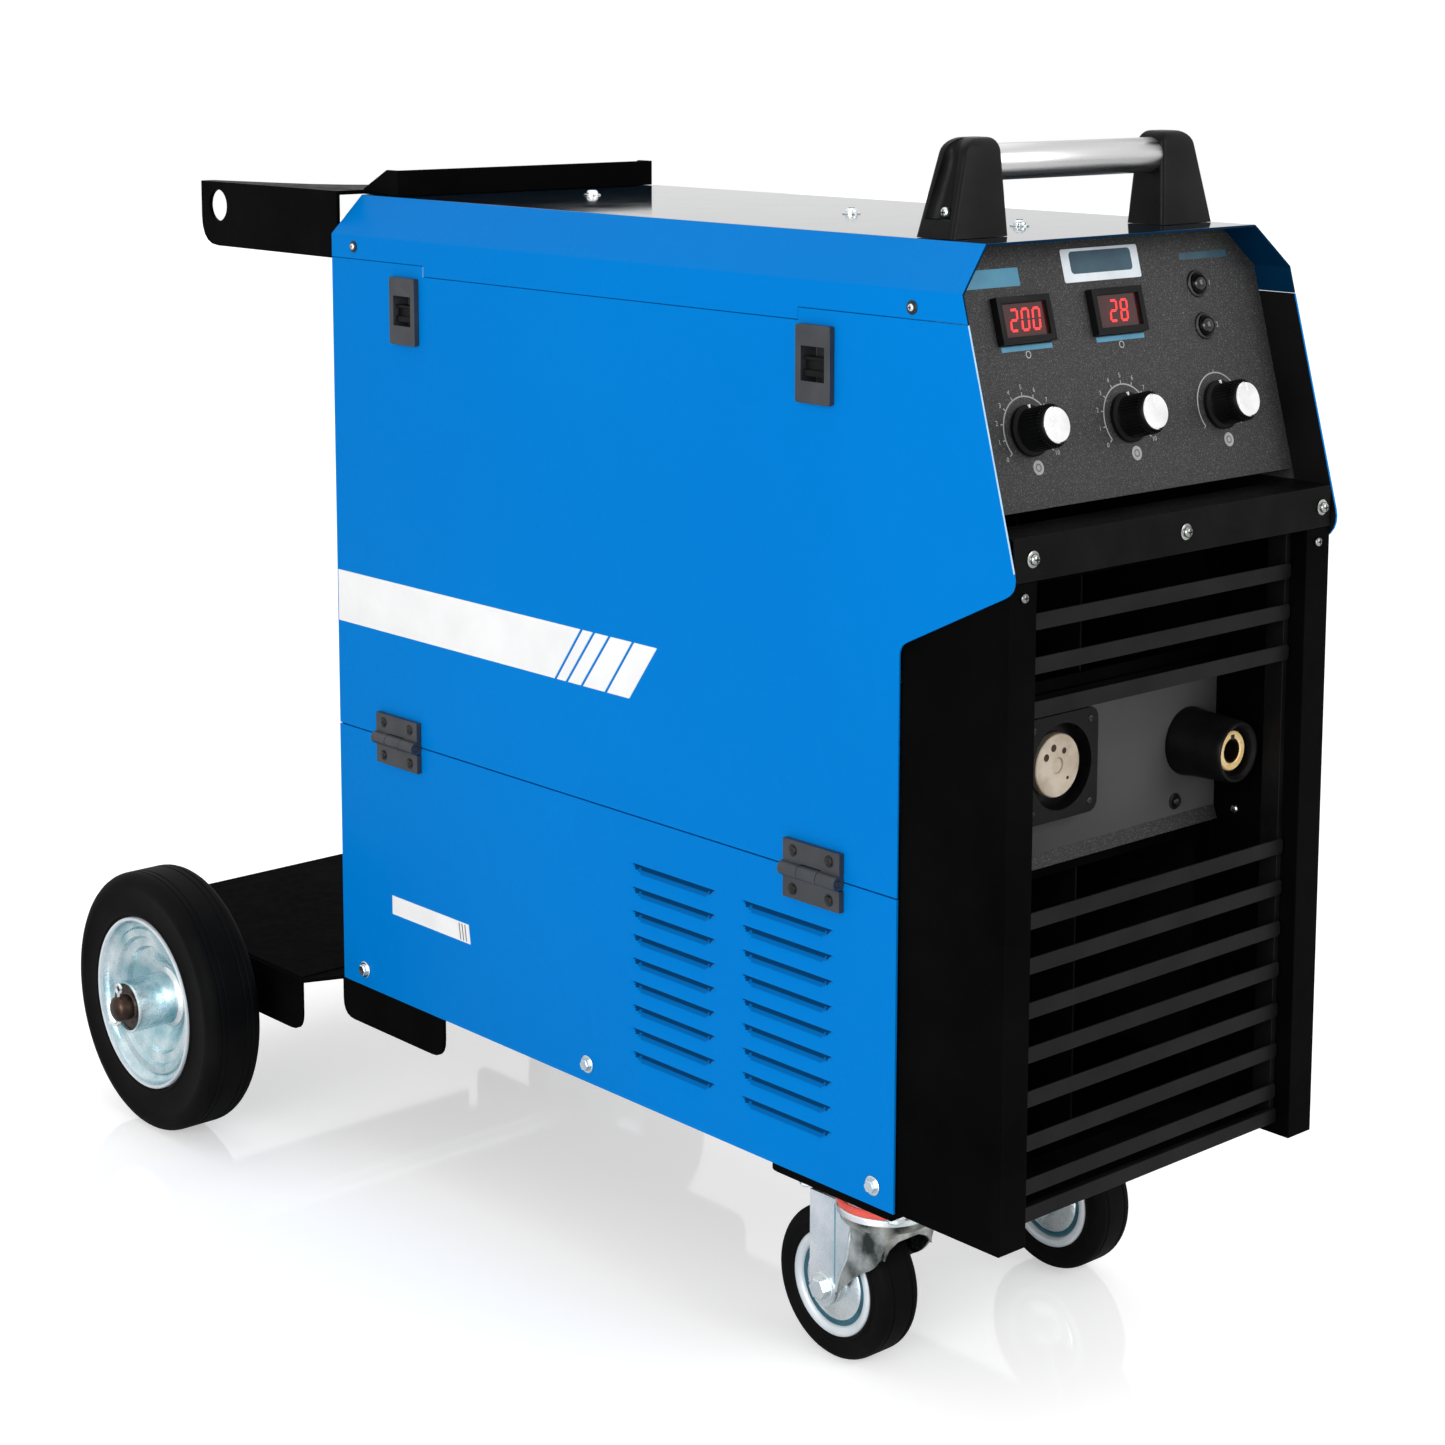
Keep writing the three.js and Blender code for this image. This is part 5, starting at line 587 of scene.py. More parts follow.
chin_round = quad_bend((slope_y(543), 543), (CHIN_Y, CHIN_Z), (8, 521.1))
heel_round = quad_bend((74, 488.8), (SHEET_FRONT, 483.6), (SHEET_FRONT, 470))
right_upper = [*reversed(heel_round), *reversed(chin_round), (slope_y(SEAM_Z), SEAM_Z), (172.5, SEAM_Z),
               (172.5, 668.5), (554, 668.5), (554, SEAM_Z), (BACK, SEAM_Z)]
louvred_skin("left_lower_panel", -1, 329.6, None)
louvred_skin("right_side_panel", 1, 400.0, right_upper)


def on_side(side, y, z, out=0.1):
    return to_side(side, side * (SIDE + out), y, z)


# Fixings on the casing.
fixings = extra("casing_screws", "cabinet", "zinc")
for y in (132, 281, 551):
    fixings.screw(to_top(0, y, ROOF + 0.1), 4.2, 3.0)
for x in (-131, 4, 137):
    fixings.screw(to_front(x, -1.6, 545), 3.4, 3.0, finish=RACEWAY)
for x in (-136, 136):
    fixings.screw(to_front(x, -0.1, 523), 3.0, 2.2, washer=False, finish=RACEWAY)
for side in (-1, 1):
    for y in (638, 376, 102):
        fixings.hex_bolt(on_side(side, y, 146.5), 7.4, 4.0, 1.65)
fixings.screw(to_left(124.9, 50, 342), 3.0, 2.0, washer=False)
for x in (-100, 100):
    fixings.screw(to_top(x, 648, ROOF + 3.4), 3.6, 2.4)
for x, z in ((-124, 700), (124, 700), (-138, 160), (138, 160), (-138, 430), (138, 430)):
    fixings.screw(to_rear(x, BACK - 0.2, z), 3.4, 2.2)
fixings.done()

dark_fixings = extra("cover_screws", "cabinet", "black_powder_coat")
for side in (-1, 1):
    for y, z in ((638, 685), (77, 683)):
        at = on_side(side, y, z)
        dark_fixings.use(STEEL_BLACK).lathe([(0, 0), (4.2, 0), (4.2, 0.5), (3.6, 0.9), (0, 0.9)], at, 28)
        dark_fixings.screw(moved(at, 0, 0, 0.8), 2.3, 1.3, washer=False)
dark_fixings.screw(to_front(84.5, 67.1, 351), 3.6, 3.0, finish=STEEL_BLACK)
dark_fixings.done()

# White band on the door, cut by thin slanting gaps, and a bare plate below it.
band = extra("door_band", "door", "blue_paint").use(WHITE)
film_at = to_right(-SIDE - 0.16, 0, 0)
BAND_FOOT, BAND_TOP, HALF_GAP = 408, 446, 1.3
tops = [664.5, 380, 367, 351, 327, 303]
feet = [664.5, 408, 396, 380, 355, 331]
for i in range(5):
    start, end = (HALF_GAP if i else 0), (HALF_GAP if i < 4 else 0)
    band.prism([(tops[i] - start, BAND_TOP), (feet[i] - start, BAND_FOOT), (feet[i + 1] + end, BAND_FOOT),
                (tops[i + 1] + end, BAND_TOP)], film_at, 0, 0.14)
band.done()
plate = extra("side_plate", "cabinet", "blue_paint").use(WHITE)
plate.prism([(602, 198), (507, 198), (509, 212), (602, 212)], film_at, 0, 0.14)
plate.use(DIM_INK)
mark_at = to_right(-SIDE - 0.2, 0, 0)
for y in (519, 515.6, 512.2):
    plate.prism([(y, 199), (y - 1.1, 199), (y + 0.9, 211), (y + 2, 211)], mark_at, 0, 0.05)
plate.done()

# ---------- front ----------

# The connector plate's top 7 mm is painted black, as painted shade under the recess's top; its lower fold is
# dark.
connector = for_node("connector_plate").use(PLATE_GREY).copy("connector_plate")
shade_band_from = max(v.co.z for v in connector.bm.verts) - 7
whole = [*connector.bm.verts, *connector.bm.edges, *connector.bm.faces]
bmesh.ops.bisect_plane(connector.bm, geom=whole, plane_co=(0, 0, shade_band_from), plane_no=(0, 0, 1))
repaint(connector, BLACK, lambda c, n: c.z > shade_band_from)
repaint(connector, SPECKLE, lambda c, n: c.z < 341)
connector.done(bevel=0.35)

# Grille: strips with rounded ends, each with a blade that slopes down behind it.
grille = for_node("front_grille").use(FIN_BLACK)
strip_at = to_front(0, 10.5, 0)
for top in [510 - 26 * i for i in range(3)] + [332 - 27.1 * i for i in range(7)]:
    grille.prism(rounded(-122.4, 122.4, top - 10, top, 2.8), strip_at, 0, 1.5)
    blade = [(10.2, top - 0.3), (10.2, top - 2.0), (24, top - 10.6), (24, top - 9.1)]
    grille.prism(blade, to_right(0, 0, 0), -121.5, 121.5)
grille.prism(rounded(-123.7, 123.7, 142.5, 152, 1.2), strip_at, -3, 1.5)
grille.block(to_top(0, 0, 0), -122.7, 122.7, 10, 68.7, 142.8, 144.3)
for x in (-124.7, 120.2):
    grille.block(to_top(0, 0, 0), x, x + 4.5, 12, 26, 143.5, 531.7)
grille.done(bevel=0.45)


def square_to_round(p, m, half, corner, radius, low, high, seg=72):
    """A square plate with rounded corners and a round hole."""
    square, circle = [], []
    for i in range(seg):
        a = 2 * pi * i / seg
        c, s = cos(a), sin(a)
        circle.append((radius * c, radius * s))
        reach = half / max(abs(c), abs(s))
        u, v = reach * c, reach * s
        du, dv = abs(u) - (half - corner), abs(v) - (half - corner)
        if du > 0 and dv > 0:
            n = hypot(du, dv)
            u = copysign(half - corner + du / n * corner, u)
            v = copysign(half - corner + dv / n * corner, v)
        square.append((u, v))
    rows = []
    for points, w in ((circle, low), (square, low), (square, high), (circle, high)):
        rows.append([p.bm.verts.new(m @ Vector((u, v, w))) for u, v in points])
    for low_row, high_row in zip(rows, rows[1:] + rows[:1]):
        for i in range(seg):
            k = (i + 1) % seg
            p.face((low_row[i], low_row[k], high_row[k], high_row[i]))


torch = for_node("torch_socket").use(PLASTIC)
torch_at = to_front(-38.5, 66.9, 397.5)
square_to_round(torch, torch_at, 33, 7, 27, 0.0, 12.0)
torch.lathe([(0, -34), (16.5, -34), (16.5, 0.2), (27.2, 0.2), (27.2, 3), (25.5, 3.4), (20, 3.4), (20, 4),
             (0, 4)], torch_at, 56)
torch.use(BRASS_FACE).lathe([(0, 3.8), (19.9, 3.8), (19.9, 8.2), (19.3, 8.8), (5.2, 8.8), (4.9, 8.5),
                             (4.9, 7.6), (0, 7.6)], torch_at, 64)
torch.use(AXLE_END)
for u, v, r in ((-4, 11.5, 2.4), (-10.5, 6.5, 2.4), (5.5, 8.5, 2.0), (9, -9, 1.2)):
    torch.disc(r, 0, 0.16, moved(torch_at, u, v, 8.7), 20)
for u in (-26, 26):
    for v in (-26, 26):
        torch.screw(moved(torch_at, u, v, 11.4), 2.6, 1.5, washer=False, finish=STEEL_BLACK)
torch.done(bevel=0.4)

power_at = to_front(96, 66.9, 389)
power = for_node("power_socket").use(PLASTIC)
power.lathe([(0, -22), (12, -22), (12, 0), (22.3, 0), (22.3, 3), (21.6, 4), (20.1, 37), (19.5, 40),
             (18.9, 41), (17.6, 41), (15.8, 39), (15.8, 33), (8, 33), (8, 6), (0, 6)], power_at, 64)
# Painted highlight: the insert's brass is pale and only partly metallic, so it looks bright from every side.
power.use(BRASS_PAINTED_HIGHLIGHT).lathe([(8, 6.2), (12.8, 32.8), (12.8, 35.2), (12.0, 36), (8.6, 36), (8, 35.4),
                               (8, 6.2)], power_at, 56)
power.use(AXLE_END).ring(7.1, 7.95, 6.4, 35.3, power_at, 48)
power.use(DARK).block(power_at, -1.7, 1.7, 7.6, 10.6, 30, 36.2)
power.disc(7.98, 9, 9.4, power_at, 32)
power.done()

# ---------- control panel ----------

board = for_node("control_board").use(BOARD).copy("control_board")
# What stands off the board behind the displays is plastic.
repaint(board, PLASTIC, lambda c, n: 30 + (c.z - 565) / COS * SIN - c.y > -9 and c.z > 640 and c.x < 40)
board.done(bevel=0.3)

SEGMENTS = {"0": "abcdef", "2": "abged", "8": "abcdefg"}


def digit(p, m, u, w, h, glyph):
    """A seven-segment digit, w wide and h high, with its foot at u."""
    thick, lean = 1.5, 0.12
    half = h / 2
    bars = {"a": (0, h, w, h), "b": (w, half, w, h), "c": (w, 0, w, half), "d": (0, 0, w, 0),
            "e": (0, 0, 0, half), "f": (0, half, 0, h), "g": (0, half, w, half)}
    for key in SEGMENTS[glyph]:
        a, b = Vector(bars[key][:2]), Vector(bars[key][2:])
        along = (b - a).normalized()
        across = Vector((-along.y, along.x)) * thick / 2
        a, b = a + along * 0.7, b - along * 0.7
        tip = along * thick / 5
        corners = [a - tip, a + across, b + across, b + tip, b - across, a - across]
        p.prism([(u + c.x + c.y * lean, c.y - half) for c in corners], m, 0, 0.2)


def display(name, x, digits):
    p = extra(name, "cabinet", "gloss_black_plastic").use(SMOKED)
    m = to_panel(x, 111, 2.55)
    p.prism(rounded(-18.9, 18.9, -9.9, 9.9, 0.8, 3), m, 0, 0.5)
    p.use(SEGMENT)
    pitch = 9.6
    start = 1.8 - pitch * len(digits) / 2
    for k, glyph in enumerate(digits):
        digit(p, moved(m, 0, 0, 0.5), start + k * pitch, 5.6, 12.4, glyph)
    p.done()


display("display_left", -77, "200")
display("display_right", 6.5, "28")

printed = extra("panel_print", "cabinet", "speckled_panel").use(INK)


INK_LIFT, INK_THICK = 0.03, 0.06
SCALE_START, SCALE_STEP = 215, 25  # degrees


def tick(x, radius, angle, length, width):
    m = turned(to_panel(x, KNOB_UP, INK_LIFT), angle)
    printed.block(m, radius, radius + length, -width / 2, width / 2, 0, INK_THICK)


def swept(x, up, radius, a0, a1, width, steps=40):
    inner, outer = arc(0, 0, radius, a0, a1, steps), arc(0, 0, radius + width, a0, a1, steps)
    m = to_panel(x, up, INK_LIFT)
    for i in range(steps):
        printed.prism([inner[i], outer[i], outer[i + 1], inner[i + 1]], m, 0, INK_THICK)


for x, numbered in ((-KNOB_X, True), (0, True), (KNOB_X, False)):
    swept(x, KNOB_UP, 20.2, -35, SCALE_START, 0.85)
    for k in range(0, 11, 1 if numbered else 5):
        angle = SCALE_START - SCALE_STEP * k
        if not numbered:
            tick(x, 20.4, angle, 2.2, 0.55)
            continue
        tick(x, 20.6, angle, 2.4, 0.7)
        a = radians(angle)
        printed.text(str(k), 4.2, moved(to_panel(x, KNOB_UP, 0.05), 26 * cos(a), 26 * sin(a), 0))
    icon = to_panel(x + 3, 24, INK_LIFT)
    printed.disc(4.4, 0, INK_THICK, icon, 28)
    printed.use(DIM_INK).ring(1.6, 2.5, 0.05, 0.1, icon, 20).use(INK)
for x in (-76, 7.5):
    swept(x, 90.5, 1.7, 0, 360, 0.6, 20)
for k, up in enumerate(BUTTON_UPS):
    printed.text(str(k + 1), 4.6, to_panel(100.5, up, 0.05))
for ink, x, up, u0, u1, half in ((TEAL, -76, 94.6, -22, 22, 1.5), (TEAL, 7.5, 94.6, -22, 22, 1.5),
                                 (TEAL, -104, 137, -34, 32, 5.5), (FAINT_TEAL, 100, 141, -24, 22, 2.2)):
    printed.use(ink).block(to_panel(x, up, INK_LIFT), u0, u1, -half, half, 0, INK_THICK)
printed.done()

badge = extra("panel_badge", "cabinet", "speckled_panel").use(PALE_RIM)
badge.prism(rounded(-33, 37, -10.5, 10, 1.4), to_panel(0, 141, INK_LIFT), 0, 0.5)
badge.use(FAINT_TEAL)
badge.prism(rounded(-26, 30, -5.5, 8.2, 2.6), to_panel(0, 141, 0.5), 0, 0.25)
badge.done(bevel=0.15)

for node, x in (("knob_left", -KNOB_X), ("knob_middle", 0), ("knob_right", KNOB_X)):
    p = for_node(node).use(PLASTIC)
    m = to_panel(x, KNOB_UP, 0.3)
    p.lathe([(3.3, 0), (15.2, 0), (15.4, 0.6), (15.4, 2.6), (14.6, 3.3), (13.2, 3.9), (13.0, 4.6)]
            + [(12.9 - 0.1 * k, 4.8 + k * 1.2) for k in range(13)]
            + [(11.5, 21.4), (11.0, 22.0), (0, 22.0), (0, 15), (3.3, 15), (3.3, 0)], m, 72)
    for k in range(36):
        p.block(turned(m, 10 * k), 12.0, 13.1, -0.35, 0.35, 5.2, 19.6)
    p.use(CHROME).lathe([(0, 21.7), (10.9, 21.7), (10.9, 22.6), (10.2, 23.3), (9.2, 23.45), (0, 23.1)], m, 64)
    p.use(WHITE).block(m, -0.6, 0.6, 12.2, 15.1, 3.0, 4.3)
    p.block(m, -0.5, 0.5, 5.2, 10.3, 23.2, 23.5)
    p.done()

collars = extra("button_collars", "cabinet", "black_powder_coat").use(STEEL_BLACK)
for node, up in zip(("button_upper", "button_lower"), BUTTON_UPS):
    m = to_panel(BUTTON_X, up)
    collars.lathe([(6.6, 0.05), (8.6, 0.05), (8.6, 0.8), (8.2, 1.3), (7.1, 1.5), (6.6, 1.2),
                   (6.6, 0.05)], m, 36)
    for_node(node).use(GLOSS).lathe([(0, -8), (5.7, -8), (5.9, -7.6), (5.9, 2.0), (5.6, 3.4), (4.9, 4.7),
                                     (3.9, 5.6), (2.6, 6.2), (1.2, 6.45), (0, 6.5)], m, 40).done()
collars.done()

# ---------- handle ----------


def bracket(label, side):
    """A moulded foot, drawn as rings from the roof up, with a hollow down its outer face."""
    p = for_node(f"handle_bracket_{label}").use(PLASTIC)
    # How far up, how much it has drawn in, and how deep its hollow is there.
    levels = [(0, 0, 0), (1, 0, 0), (10.5, 0, 0), (11, 0, 1), (20, 0, 1), (30, 0, 1), (40, 0, 1),
              (46, 0, 0.9), (49.5, 0, 0.6)]
    for a in [radians(15 * k) for k in range(1, 7)]:
        levels.append((49.5 + 8.5 * sin(a), 1 - cos(a), 0.6 * cos(a)))
    rings = []
    for up, shrink, hollow in levels:
        inner = 70 + 0.06 * up + 5 * shrink
        outer = 119 - 0.29 * up - 10 * shrink
        half = 15 - 0.075 * up - 5 * shrink
        gap = half - 3.4 - 0.04 * up
        row = arc(inner + 3, -half + 3, 3, 180, 270, 4) + arc(outer - 2.6, -half + 2.6, 2.6, 270, 360, 4)
        for u in (-1, -0.92, -0.7, -0.35, 0, 0.35, 0.7, 0.92, 1):
            row.append((outer - 6.5 * hollow * (1 - u ** 4), u * gap))
        row += arc(outer - 2.6, half - 2.6, 2.6, 0, 90, 4) + arc(inner + 3, half - 3, 3, 90, 180, 4)
        rings.append([p.bm.verts.new((side * x, HANDLE_Y + y, ROOF + 0.3 + up)) for x, y in row])
    for low, high in zip(rings, rings[1:]):
        for i in range(len(low)):
            k = (i + 1) % len(low)
            p.face((low[i], low[k], high[k], high[i]))
    p.face(list(reversed(rings[0])))
    p.face(rings[-1])
    p.done(smooth=42)


bracket("left", -1)
bracket("right", 1)

tube = for_node("handle_tube").use(ALU)
tube.lathe([(9, -85.5), (10.8, -85.5), (11, -85.2), (11, 85.2), (10.8, 85.5), (9, 85.5), (9, -85.5)],
           to_right(0, HANDLE_Y, HANDLE_Z), 64)
tube.done()
trims = extra("handle_screws", "cabinet", "zinc")
for side in (-1, 1):
    trims.screw(to_side(side, side * 109, HANDLE_Y, 735), 3.4, 2.2, washer=False)
trims.done()

# ---------- door furniture ----------

for row, y in (("front", 154), ("rear", 588)):
    for part, sign in (("fixed", -1), ("door", 1)):
        node = f"hinge_{part}_{row}"
        p = for_node(node).use(DARK_GREY).copy(node)
        for s in (-1, 1):
            m = to_left(-154.25, y + s * 16, 330 + sign * 12.2)
            p.use(STEEL_BLACK).lathe([(0, -0.1), (3.9, -0.1), (3.9, 0.25), (3.5, 0.35), (3.2, 0.1),
                                      (0, 0.1)], m, 24)
            p.lathe([(0, 0.05), (2.9, 0.1), (2.5, 0.8), (1.4, 1.2), (0, 1.3)], m, 20)
            p.use(DARK).cross(m, 1.5, 0.35, 0.9, 1.35)
        p.done(bevel=0.3)

# ---------- rear carriage and wheels ----------

axle = for_node("rear_axle").use(ZINC)
axle.disc(10, -258, 258, to_right(0, REAR_AXLE_Y, REAR_AXLE_Z), 40)
for side in (-1, 1):
    m = to_side(side, side * 262.5, REAR_AXLE_Y, REAR_AXLE_Z)
    axle.use(AXLE_END).lathe([(0, -9), (9.9, -9), (9.9, 3.6), (9.2, 5.6), (7.4, 7.1), (4.4, 7.9),
                              (0, 8)], m, 40)
    axle.ring(10.1, 17.3, -7.4, -5.6, m, 40).use(ZINC)
    # The split pin, bent over below, with its eye on top.
    shank = [(0, 12.5), (0, -11), (3, -13.6), (9, -14.6), (15, -14.8)]
    for path, radius in ((shank, 1.4), (arc(0, 15.6, 3.6, -80, 260, 17), 1.2)):
        axle.tube([(side * 265.5, REAR_AXLE_Y + u, REAR_AXLE_Z + v) for u, v in path], radius)
axle.done()


def shoulder_arc(outer, half, r, side):
    """Rounded tyre shoulder, from side wall to tread on side +1 and back on side -1."""
    points = [(outer - r + r * sin(a), side * (half - r + r * cos(a)))
              for a in [radians(15 * k) for k in range(7)]]
    return points if side > 0 else list(reversed(points))


def tyre(p, m, outer, half, rim, shoulder, lines, seg):
    """A tyre with a bead, side walls, rounded shoulders and fine grooves in its tread."""
    wall = [(rim, half - 2.0), (rim + 1.2, half - 0.6), (rim + 2.6, half - 0.1), (rim + 3.4, half - 0.9),
            (rim + 5.0, half - 1.1), (outer - shoulder - 3.5, half - 0.6),
            (outer - shoulder - 2.6, half - 0.1)]
    tread = []
    for h in lines:
        tread += [(outer, h + 0.8), (outer - 0.6, h + 0.35), (outer - 0.6, h - 0.35), (outer, h - 0.8)]
    profile = (wall + shoulder_arc(outer, half, shoulder, 1) + tread + shoulder_arc(outer, half, shoulder, -1)
               + [(r, -h) for r, h in reversed(wall)])
    p.lathe([*profile, profile[0]], m, seg)


for side, label in ((-1, "left"), (1, "right")):
    m = to_side(side, side * REAR_WHEEL_X, REAR_AXLE_Y, REAR_AXLE_Z)
    p = for_node(f"rear_tyre_{label}").use(REAR_RUBBER)
    tyre(p, m, 100.0, 23, 66.6, 9, (13, 8, -8, -13), 96)
    p.done(smooth=50)
    p = for_node(f"rear_rim_{label}").use(ZINC_BLUE)
    p.lathe([(20, -0.8), (24, 0.2), (28.5, 2.4), (32, 5.8), (40, 8), (42, 11.4), (48.5, 13), (50.5, 16.2),
             (56, 16.6), (57.6, 15.2), (60, 15.6), (62.2, 17.6), (63.6, 21), (63.6, 15), (56, 10), (24, -6),
             (20, -6), (20, -0.8)], m, 96)
    p.use(PALE_RIM).lathe([(60, -21), (66.2, -22.6), (66.2, 22.4), (65.6, 23.3), (64.6, 23.5), (63.7, 22.9),
                           (63.3, 21), (63.3, -18), (60, -21)], m, 96)
    p.use(ZINC_BLUE).lathe([(10.4, -44.7), (20, -44.7), (20, 35.2), (19.6, 36.4), (18.9, 36.8), (18.1, 36.4),
                            (17.8, 35.4), (17.8, 28.5), (10.4, 28.5), (10.4, -44.7)], m, 64)
    p.use(ZINC).lathe([(20.1, -0.7), (23.4, -0.9), (23.2, 0.5), (21, 1.9), (20.1, 3.2), (20.1, -0.7)], m, 64)
    p.done(smooth=40)

# ---------- front casters ----------

for side, label in ((-1, "left"), (1, "right")):
    cx, cy = side * CASTER_X, CASTER_Y
    axle_y = cy + CASTER_TRAIL
    post = to_top(cx, cy, 0)
    p = for_node(f"caster_plate_{label}").use(ZINC)
    p.prism(rounded(-42.5, 42.5, -50, 50, 6), post, 125.5, 128)
    p.lathe([(0, 112.6), (27, 112.6), (29, 114), (30, 118), (30, 121), (33, 124), (36, 125.6),
             (0, 125.6)], post, 56)
    for u in (-31, 31):
        for v in (-39, 39):
            p.hex_bolt(basis((1, 0, 0), (0, -1, 0), (0, 0, -1), (cx + u, cy + v, 125.4)), 10, 6.5, 1.7)
    p.done(bevel=0.3)

    p = extra(f"caster_seal_{label}", BODY[f"caster_fork_{label}"], "rubber").use(SEAL)
    p.lathe([(29.8, 112.3), (31.4, 112.3), (31.8, 113.2), (31.6, 115.2), (30.8, 116.1), (29.8, 116.1),
             (29.8, 112.3)], post, 56)
    p.done()

    p = for_node(f"caster_fork_{label}").use(ZINC)
    p.lathe([(0, 109.4), (27, 109.4), (29.5, 108.2), (31.6, 107.4), (32, 108), (32, 111.2), (31.4, 112.1),
             (0, 112.1)], post, 56)
    leg = [(45.5, 111.9), (9.5, 111.9), (9.5, 92)]
    for a, c, b, steps in (((9.5, 92), (12, 76), (19, 62), 6), ((19, 62), (21.5, 50), (24, 44), 4),
                           ((24, 44), (28, 36.8), (34, 36.8), 4), ((34, 36.8), (41, 36.8), (43, 44), 4)):
        leg += quad_bend(a, c, b, steps)[1:]
    leg.append((45.5, 56))
    for s in (-1, 1):
        p.prism([(cy + u, v) for u, v in leg], to_right(cx + s * 21.75, 0, 0), -1.2, 1.2)
        lip = ((9.7, 108), (9.6, 90), (12.2, 76), (18.6, 62.5), (22, 51))
        p.tube([(cx + s * 22.2, cy + u, v) for u, v in lip], 1.3)
        # Painted shade: a thin dark teal strip down each leg stands for the shade at the bend of its front
        # flange.
        bend_shade_at = to_side(s, cx + s * 22.95, cy + 22.5, 0)
        p.use(BEND_SHADE_TEAL).block(bend_shade_at, -0.8, 0.8, 56, 109, -0.3, 0.12).use(ZINC)
    p.block(post, -22.8, 22.8, 9.5, 45.5, 109.6, 112)
    p.use(RACEWAY).lathe([(26.5, 109.5), (26.5, 101.6), (28, 101.2), (29.4, 103), (30.6, 108.4),
                          (26.5, 109.5)], post, 56)
    # The pressed front of the fork: an arch across, and a cheek that runs down to the axle on each side.
    arch = [(-21, 110), (-21, 84), (-17, 90), (-9, 93.5), (9, 93.5), (17, 90), (21, 84), (21, 110)]
    p.prism(arch, to_front(cx, cy - 20, 0), -1.9, 0)
    cheek = [(9.8, 111.5), (-20, 111.5), (-20, 92), *quad_bend((-20, 92), (-17, 78), (-3, 71.5))[1:],
             (6, 65), (15, 56.5), (22, 48), (24, 50), (19, 62), (12, 76), (9.8, 92)]
    for s in (-1, 1):
        p.prism([(cy + u, v) for u, v in cheek], to_right(cx + s * 21.6, 0, 0), -1.0, 1.0)
    for s in (-1, 1):
        p.hex_bolt(to_side(s, cx + s * 22.9, axle_y, CASTER_AXLE_Z), 13, 5.8, 1.5)
    m = to_right(cx, axle_y, CASTER_AXLE_Z)
    p.disc(4.8, -22.6, 22.6, m, 24).done(bevel=0.35)

    p = for_node(f"caster_wheel_{label}").use(CASTER_RUBBER)
    tyre(p, m, 50.0, 16, 34.2, 6.5, (8, -8), 72)
    for s in (-1, 1):
        face = to_side(s, cx, axle_y, CASTER_AXLE_Z)
        p.use(PALE_RIM).lathe([(27.5, 2), (34.4, 2), (34.4, 14.6), (33.6, 15.5), (31.6, 15.7), (30.0, 15.3),
                               (28.6, 14.4), (27.9, 13.2), (27.5, 2)], face, 72)
        p.use(TEAL_GROOVE).lathe([(24, 2), (28.2, 2), (28.2, 12.9), (27.0, 12.2), (24, 12.9),
                                  (24, 2)], face, 72)
        p.use(ZINC).lathe([(5.4, 0.05), (24.3, 0.05), (24.3, 12.8), (23.2, 13.7), (14, 14.4), (12, 14.6),
                           (12, 19.4), (11.4, 20), (5.4, 20), (5.4, 0.05)], face, 64)
    p.done(smooth=45)

# ---------- wire compartment ----------

spool = for_node("wire_spool").use(PLASTIC)
at = to_right(0, SPOOL_Y, SPOOL_Z)
for x0, x1 in ((-111.6, -107.6), (-17.6, -13.6)):
    spool.lathe([(26, x0), (148.6, x0), (149.4, x0 + 0.6), (149.4, x1 - 0.6), (148.6, x1), (26, x1),
                 (26, x0)], at, 96)
spool.ring(26, 30, -108, -17, at, 48)
for k in range(8):
    spool.block(turned(to_left(-111.4, SPOOL_Y, SPOOL_Z), 45 * k), 46, 142, -1.6, 1.6, 0, 1.9)
spool.ring(40, 44, -113.2, -111.5, at, 64).ring(143.5, 147.5, -113.2, -111.5, at, 96)
spool.use(WHITE).ring(52, 92, -111.9, -111.5, at, 64)
turns = [(31, -107.4), (125, -107.4)]  # the coil's profile, wave by wave
for k in range(44):
    x = -106.2 + k * 2.02
    turns += [(126.6, x - 0.75), (127.4, x), (126.6, x + 0.75)]
turns += [(125, -17.8), (31, -17.8), (31, -107.4)]
spool.use(COPPER).lathe(turns, at, 96)
spool.done(smooth=30)

hub = for_node("spool_hub").use(PLASTIC)
hub.lathe([(0, -6.3), (40, -6.3), (40, -12.6), (38.8, -13.3), (25, -13.3), (25, -111.9), (30.4, -111.9),
           (31, -112.6), (31, -116.9), (29.6, -118.9), (27, -119.9), (12, -119.9), (11, -118.6), (0, -118.6)],
          at, 64)
hub.use(ZINC).lathe([(0, -118.7), (8, -118.7), (8, -119.6), (7, -119.9), (0, -119.9)], at, 6)
hub.done()


def grooved_roll(node, y, z, radius):
    """A feeder roll with a V groove and three holes in its face."""
    p = for_node(node).use(ZINC)
    low, high = -44.6, -32.6
    p.lathe([(4.3, low), (radius - 0.6, low), (radius, low + 0.6), (radius, low + 5.2), (radius - 1, low + 6),
             (radius, low + 6.8), (radius, high - 0.6), (radius - 0.6, high), (4.3, high), (4.3, low)],
            to_right(0, y, z), 64)
    p.use(STEEL_BLACK)
    for k in range(3):
        a = radians(90 + 120 * k)
        hole = to_left(low + 0.02, y + radius * 0.55 * cos(a), z + radius * 0.55 * sin(a))
        p.disc(radius * 0.12, 0, 0.12, hole, 16)
    p.done()


WIRE_X, WIRE_Z = -38.6, 397.5
grooved_roll("drive_roll", 185, WIRE_Z - 20.6, 20)
grooved_roll("pressure_roll", 185, WIRE_Z + 15.6, 15)

